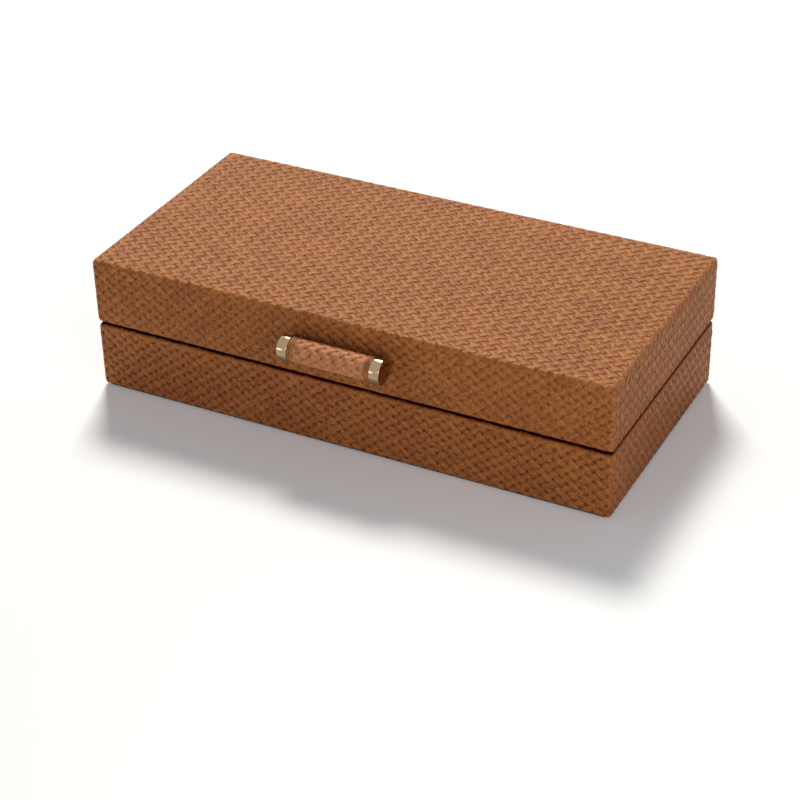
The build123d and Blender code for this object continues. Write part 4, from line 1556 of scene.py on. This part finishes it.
@dataclass
class Studio:
    """Pale floor, soft boxes and the camera at the photograph's angle."""

    camera_place: Vector = Vector((0.4589, -0.8873, 0.6295))
    yaw: float = -0.4642
    pitch: float = 0.5778
    roll: float = -0.0123
    focal_px: float = 2141.5
    centre_px: tuple[float, float] = (430.9, 415.9)
    frame_px: float = 800.0
    sensor_mm: float = 36.0
    fill: float = 0.22
    floor_dark: Colour = (0.93, 0.93, 0.93)
    floor_pale: Colour = (0.95, 0.95, 0.95)
    floor_light: Colour = (0.84, 0.91, 1.0)
    floor_lift: float = 0.12
    far_lift: float = 0.6
    near: float = 0.6
    far: float = 2.4
    soft_boxes: tuple[SoftBox, ...] = (
        SoftBox("key_box", (-1.02, 1.76, 2.65), (0.8, 0.8), 102.0, (1.0, 0.98, 0.92)),
        SoftBox("front_box", (-1.2, -1.9, 0.3), (0.6, 0.3), 3.0, (1.0, 0.93, 0.95)),
        SoftBox("right_box", (0.5, -0.55, 0.28), (0.2, 0.2), 1.1, (1.0, 0.95, 0.94)),
    )

    def build_camera(self) -> None:
        """Place the camera as it was fitted to the case's corners."""
        data = bpy.data.cameras.new("camera")
        data.sensor_width = self.sensor_mm
        data.lens = self.focal_px * self.sensor_mm / self.frame_px
        data.shift_x = -(self.centre_px[0] - self.frame_px / 2) / self.frame_px
        data.shift_y = (self.centre_px[1] - self.frame_px / 2) / self.frame_px
        turn = Matrix.Rotation(-self.yaw, 3, "Z")
        right = turn @ Vector((1, 0, 0))
        forward = turn @ Vector((0, math.cos(self.pitch), -math.sin(self.pitch)))
        down = forward.cross(right)
        across = math.cos(self.roll) * right - math.sin(self.roll) * down
        below = math.sin(self.roll) * right + math.cos(self.roll) * down
        camera = put_in_scene("camera", data)
        axes = Matrix((across, -below, -forward)).transposed()
        camera.matrix_world = Matrix.Translation(self.camera_place) @ axes.to_4x4()
        bpy.context.scene.camera = camera

    def build_floor(self) -> None:
        """Lay a pale floor, lifted to white where it is seen, mirrored or seen through."""
        plane = bmesh.new()
        bmesh.ops.create_grid(plane, x_segments=1, y_segments=1, size=4.0)
        shade = Shade("pale_floor", Roughness=0.9, Specular_IOR_Level=0.1)
        place = shade.object_point()
        soft = shade.noise(place, 3.0, 1.0)
        away = shade.add("VectorMath", {0: place}, operation="LENGTH").outputs["Value"]
        lift = shade.remap(away, self.near, self.far, self.floor_lift, self.far_lift)
        shade.surface(
            Base_Color=shade.mix(soft, self.floor_dark, self.floor_pale),
            Emission_Color=self.floor_light,
            Emission_Strength=shade.times(seen_directly(shade.tree), lift),
        )
        link_mesh("floor", plane, shade.material)

    def build_world(self) -> None:
        """Give plain surroundings, white where they are seen or mirrored and weaker as fill."""
        world = bpy.data.worlds.new("surroundings")
        world.use_nodes = True
        tree = world.node_tree
        background = tree.nodes["Background"]
        level = tree.nodes.new("ShaderNodeMapRange")
        level.inputs["To Min"].default_value = self.fill
        tree.links.new(seen_directly(tree), level.inputs["Value"])
        background.inputs["Color"].default_value = (1.0, 1.0, 1.0, 1.0)
        tree.links.new(level.outputs[0], background.inputs["Strength"])
        bpy.context.scene.world = world

    def build(self) -> None:
        """Build the studio."""
        bpy.context.scene.view_settings.view_transform = "Standard"
        self.build_camera()
        self.build_floor()
        self.build_world()
        for soft_box in self.soft_boxes:
            soft_box.build()
        log.info("studio ready")


def dress(names: list[str], material: Material) -> None:
    """Give CAD nodes whose shape is right a finished material.

    Args:
        names: The nodes.
        material: Their finish.
    """
    for name in names:
        slots = frame["nodes"][name].data.materials
        slots.clear()
        slots.append(material)


def nodes_in_slot(slot: str) -> list[str]:
    """The CAD nodes that the record puts in one material slot."""
    return [part["node"] for part in frame["record"]["subparts"] if part["material_slot"] == slot]


def build_covers(leather: Material) -> None:
    """Weave both covers over the halves of the case.

    Args:
        leather: The strips' material.
    """
    board_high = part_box("base_floor_panel")[1]
    for body, flat_at_top in ((Body.LID, True), (Body.BASE, False)):
        node = f"{body.value}_leather_wrap"
        low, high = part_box(node)
        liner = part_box("lid_liner_front" if flat_at_top else "base_liner_front")
        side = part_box("lid_liner_left" if flat_at_top else "base_liner_left")
        leaves = [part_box(f"hinge_{body.value}_leaf_{hand}") for hand in HANDS]
        # The lid's pits get fainter painted shade than the base's; the seam's painted shadow
        # reaches further up on the base.
        cover = WovenCover(
            name=f"woven_{body.value}_cover",
            weave=Weave(seed=7 if flat_at_top else 19, pit_shade=0.47 if flat_at_top else 0.9),
            length=high.x - low.x,
            depth=high.y - low.y,
            flat_z=high.z if flat_at_top else low.z,
            rim_z=low.z if flat_at_top else high.z,
            inner_length=-2 * side[0].x,
            inner_depth=-2 * liner[0].y,
            thickness=high.x - board_high.x,
            proud=(0.65 if flat_at_top else 0.4) * MM,
            smooth_rim=(1.9 if flat_at_top else 3.2) * MM,
            seam_shade_reach=(2.4 if flat_at_top else 2.9) * MM,
            flat_border=None if flat_at_top else 4.0 * MM,
            turn_up_z=liner[0].z if flat_at_top else None,
            mortises=tuple((leaf[0].x - 0.2 * MM, leaf[1].x + 0.2 * MM) for leaf in leaves),
        )
        piece = cover.build(leather)
        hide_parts(node)
        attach(piece, body.value)


def main() -> None:
    """Build the studio and dress every piece, in order."""
    logging.basicConfig(level=logging.INFO, format="%(name)s: %(message)s")
    Studio().build()
    leather = StripLeather().build()
    grain = GrainLeather().build()
    suede = Suede().build()
    # The pale gold is darkened to stand in for the dark studio reflections on the polished caps: a
    # painted reflection.
    gold = Metal("pale_gold", srgb(170, 144, 114), 0.11).build()
    build_covers(leather)
    # The grip leather is a lighter copy of the strip leather, for the light that the bar catches:
    # painted light.
    grip = StripLeather(
        "grip_leather", srgb(215, 149, 104), srgb(168, 105, 70), srgb(168, 94, 66), depth=0.32
    )
    BarHandle().build(grip.build(), grain, gold)
    RingRolls().build(suede)
    PaddedFloor().build(suede)
    dress(nodes_in_slot("suede"), suede)
    dress(nodes_in_slot("felt"), Suede("dark_felt", srgb(40, 36, 34), srgb(22, 20, 19)).build())
    dress(nodes_in_slot("board"), Board().build())
    dress(nodes_in_slot("mirror"), MirrorGlass().build())
    dress(nodes_in_slot("pale_gold"), gold)
    brass = Metal("hinge_brass", srgb(214, 178, 110), 0.26, 0.5).build()
    dress(nodes_in_slot("hinge_brass"), brass)
    dress(nodes_in_slot("steel"), Metal("bright_steel", srgb(190, 190, 192), 0.3, 0.5).build())


if __name__ == "__main__":
    main()
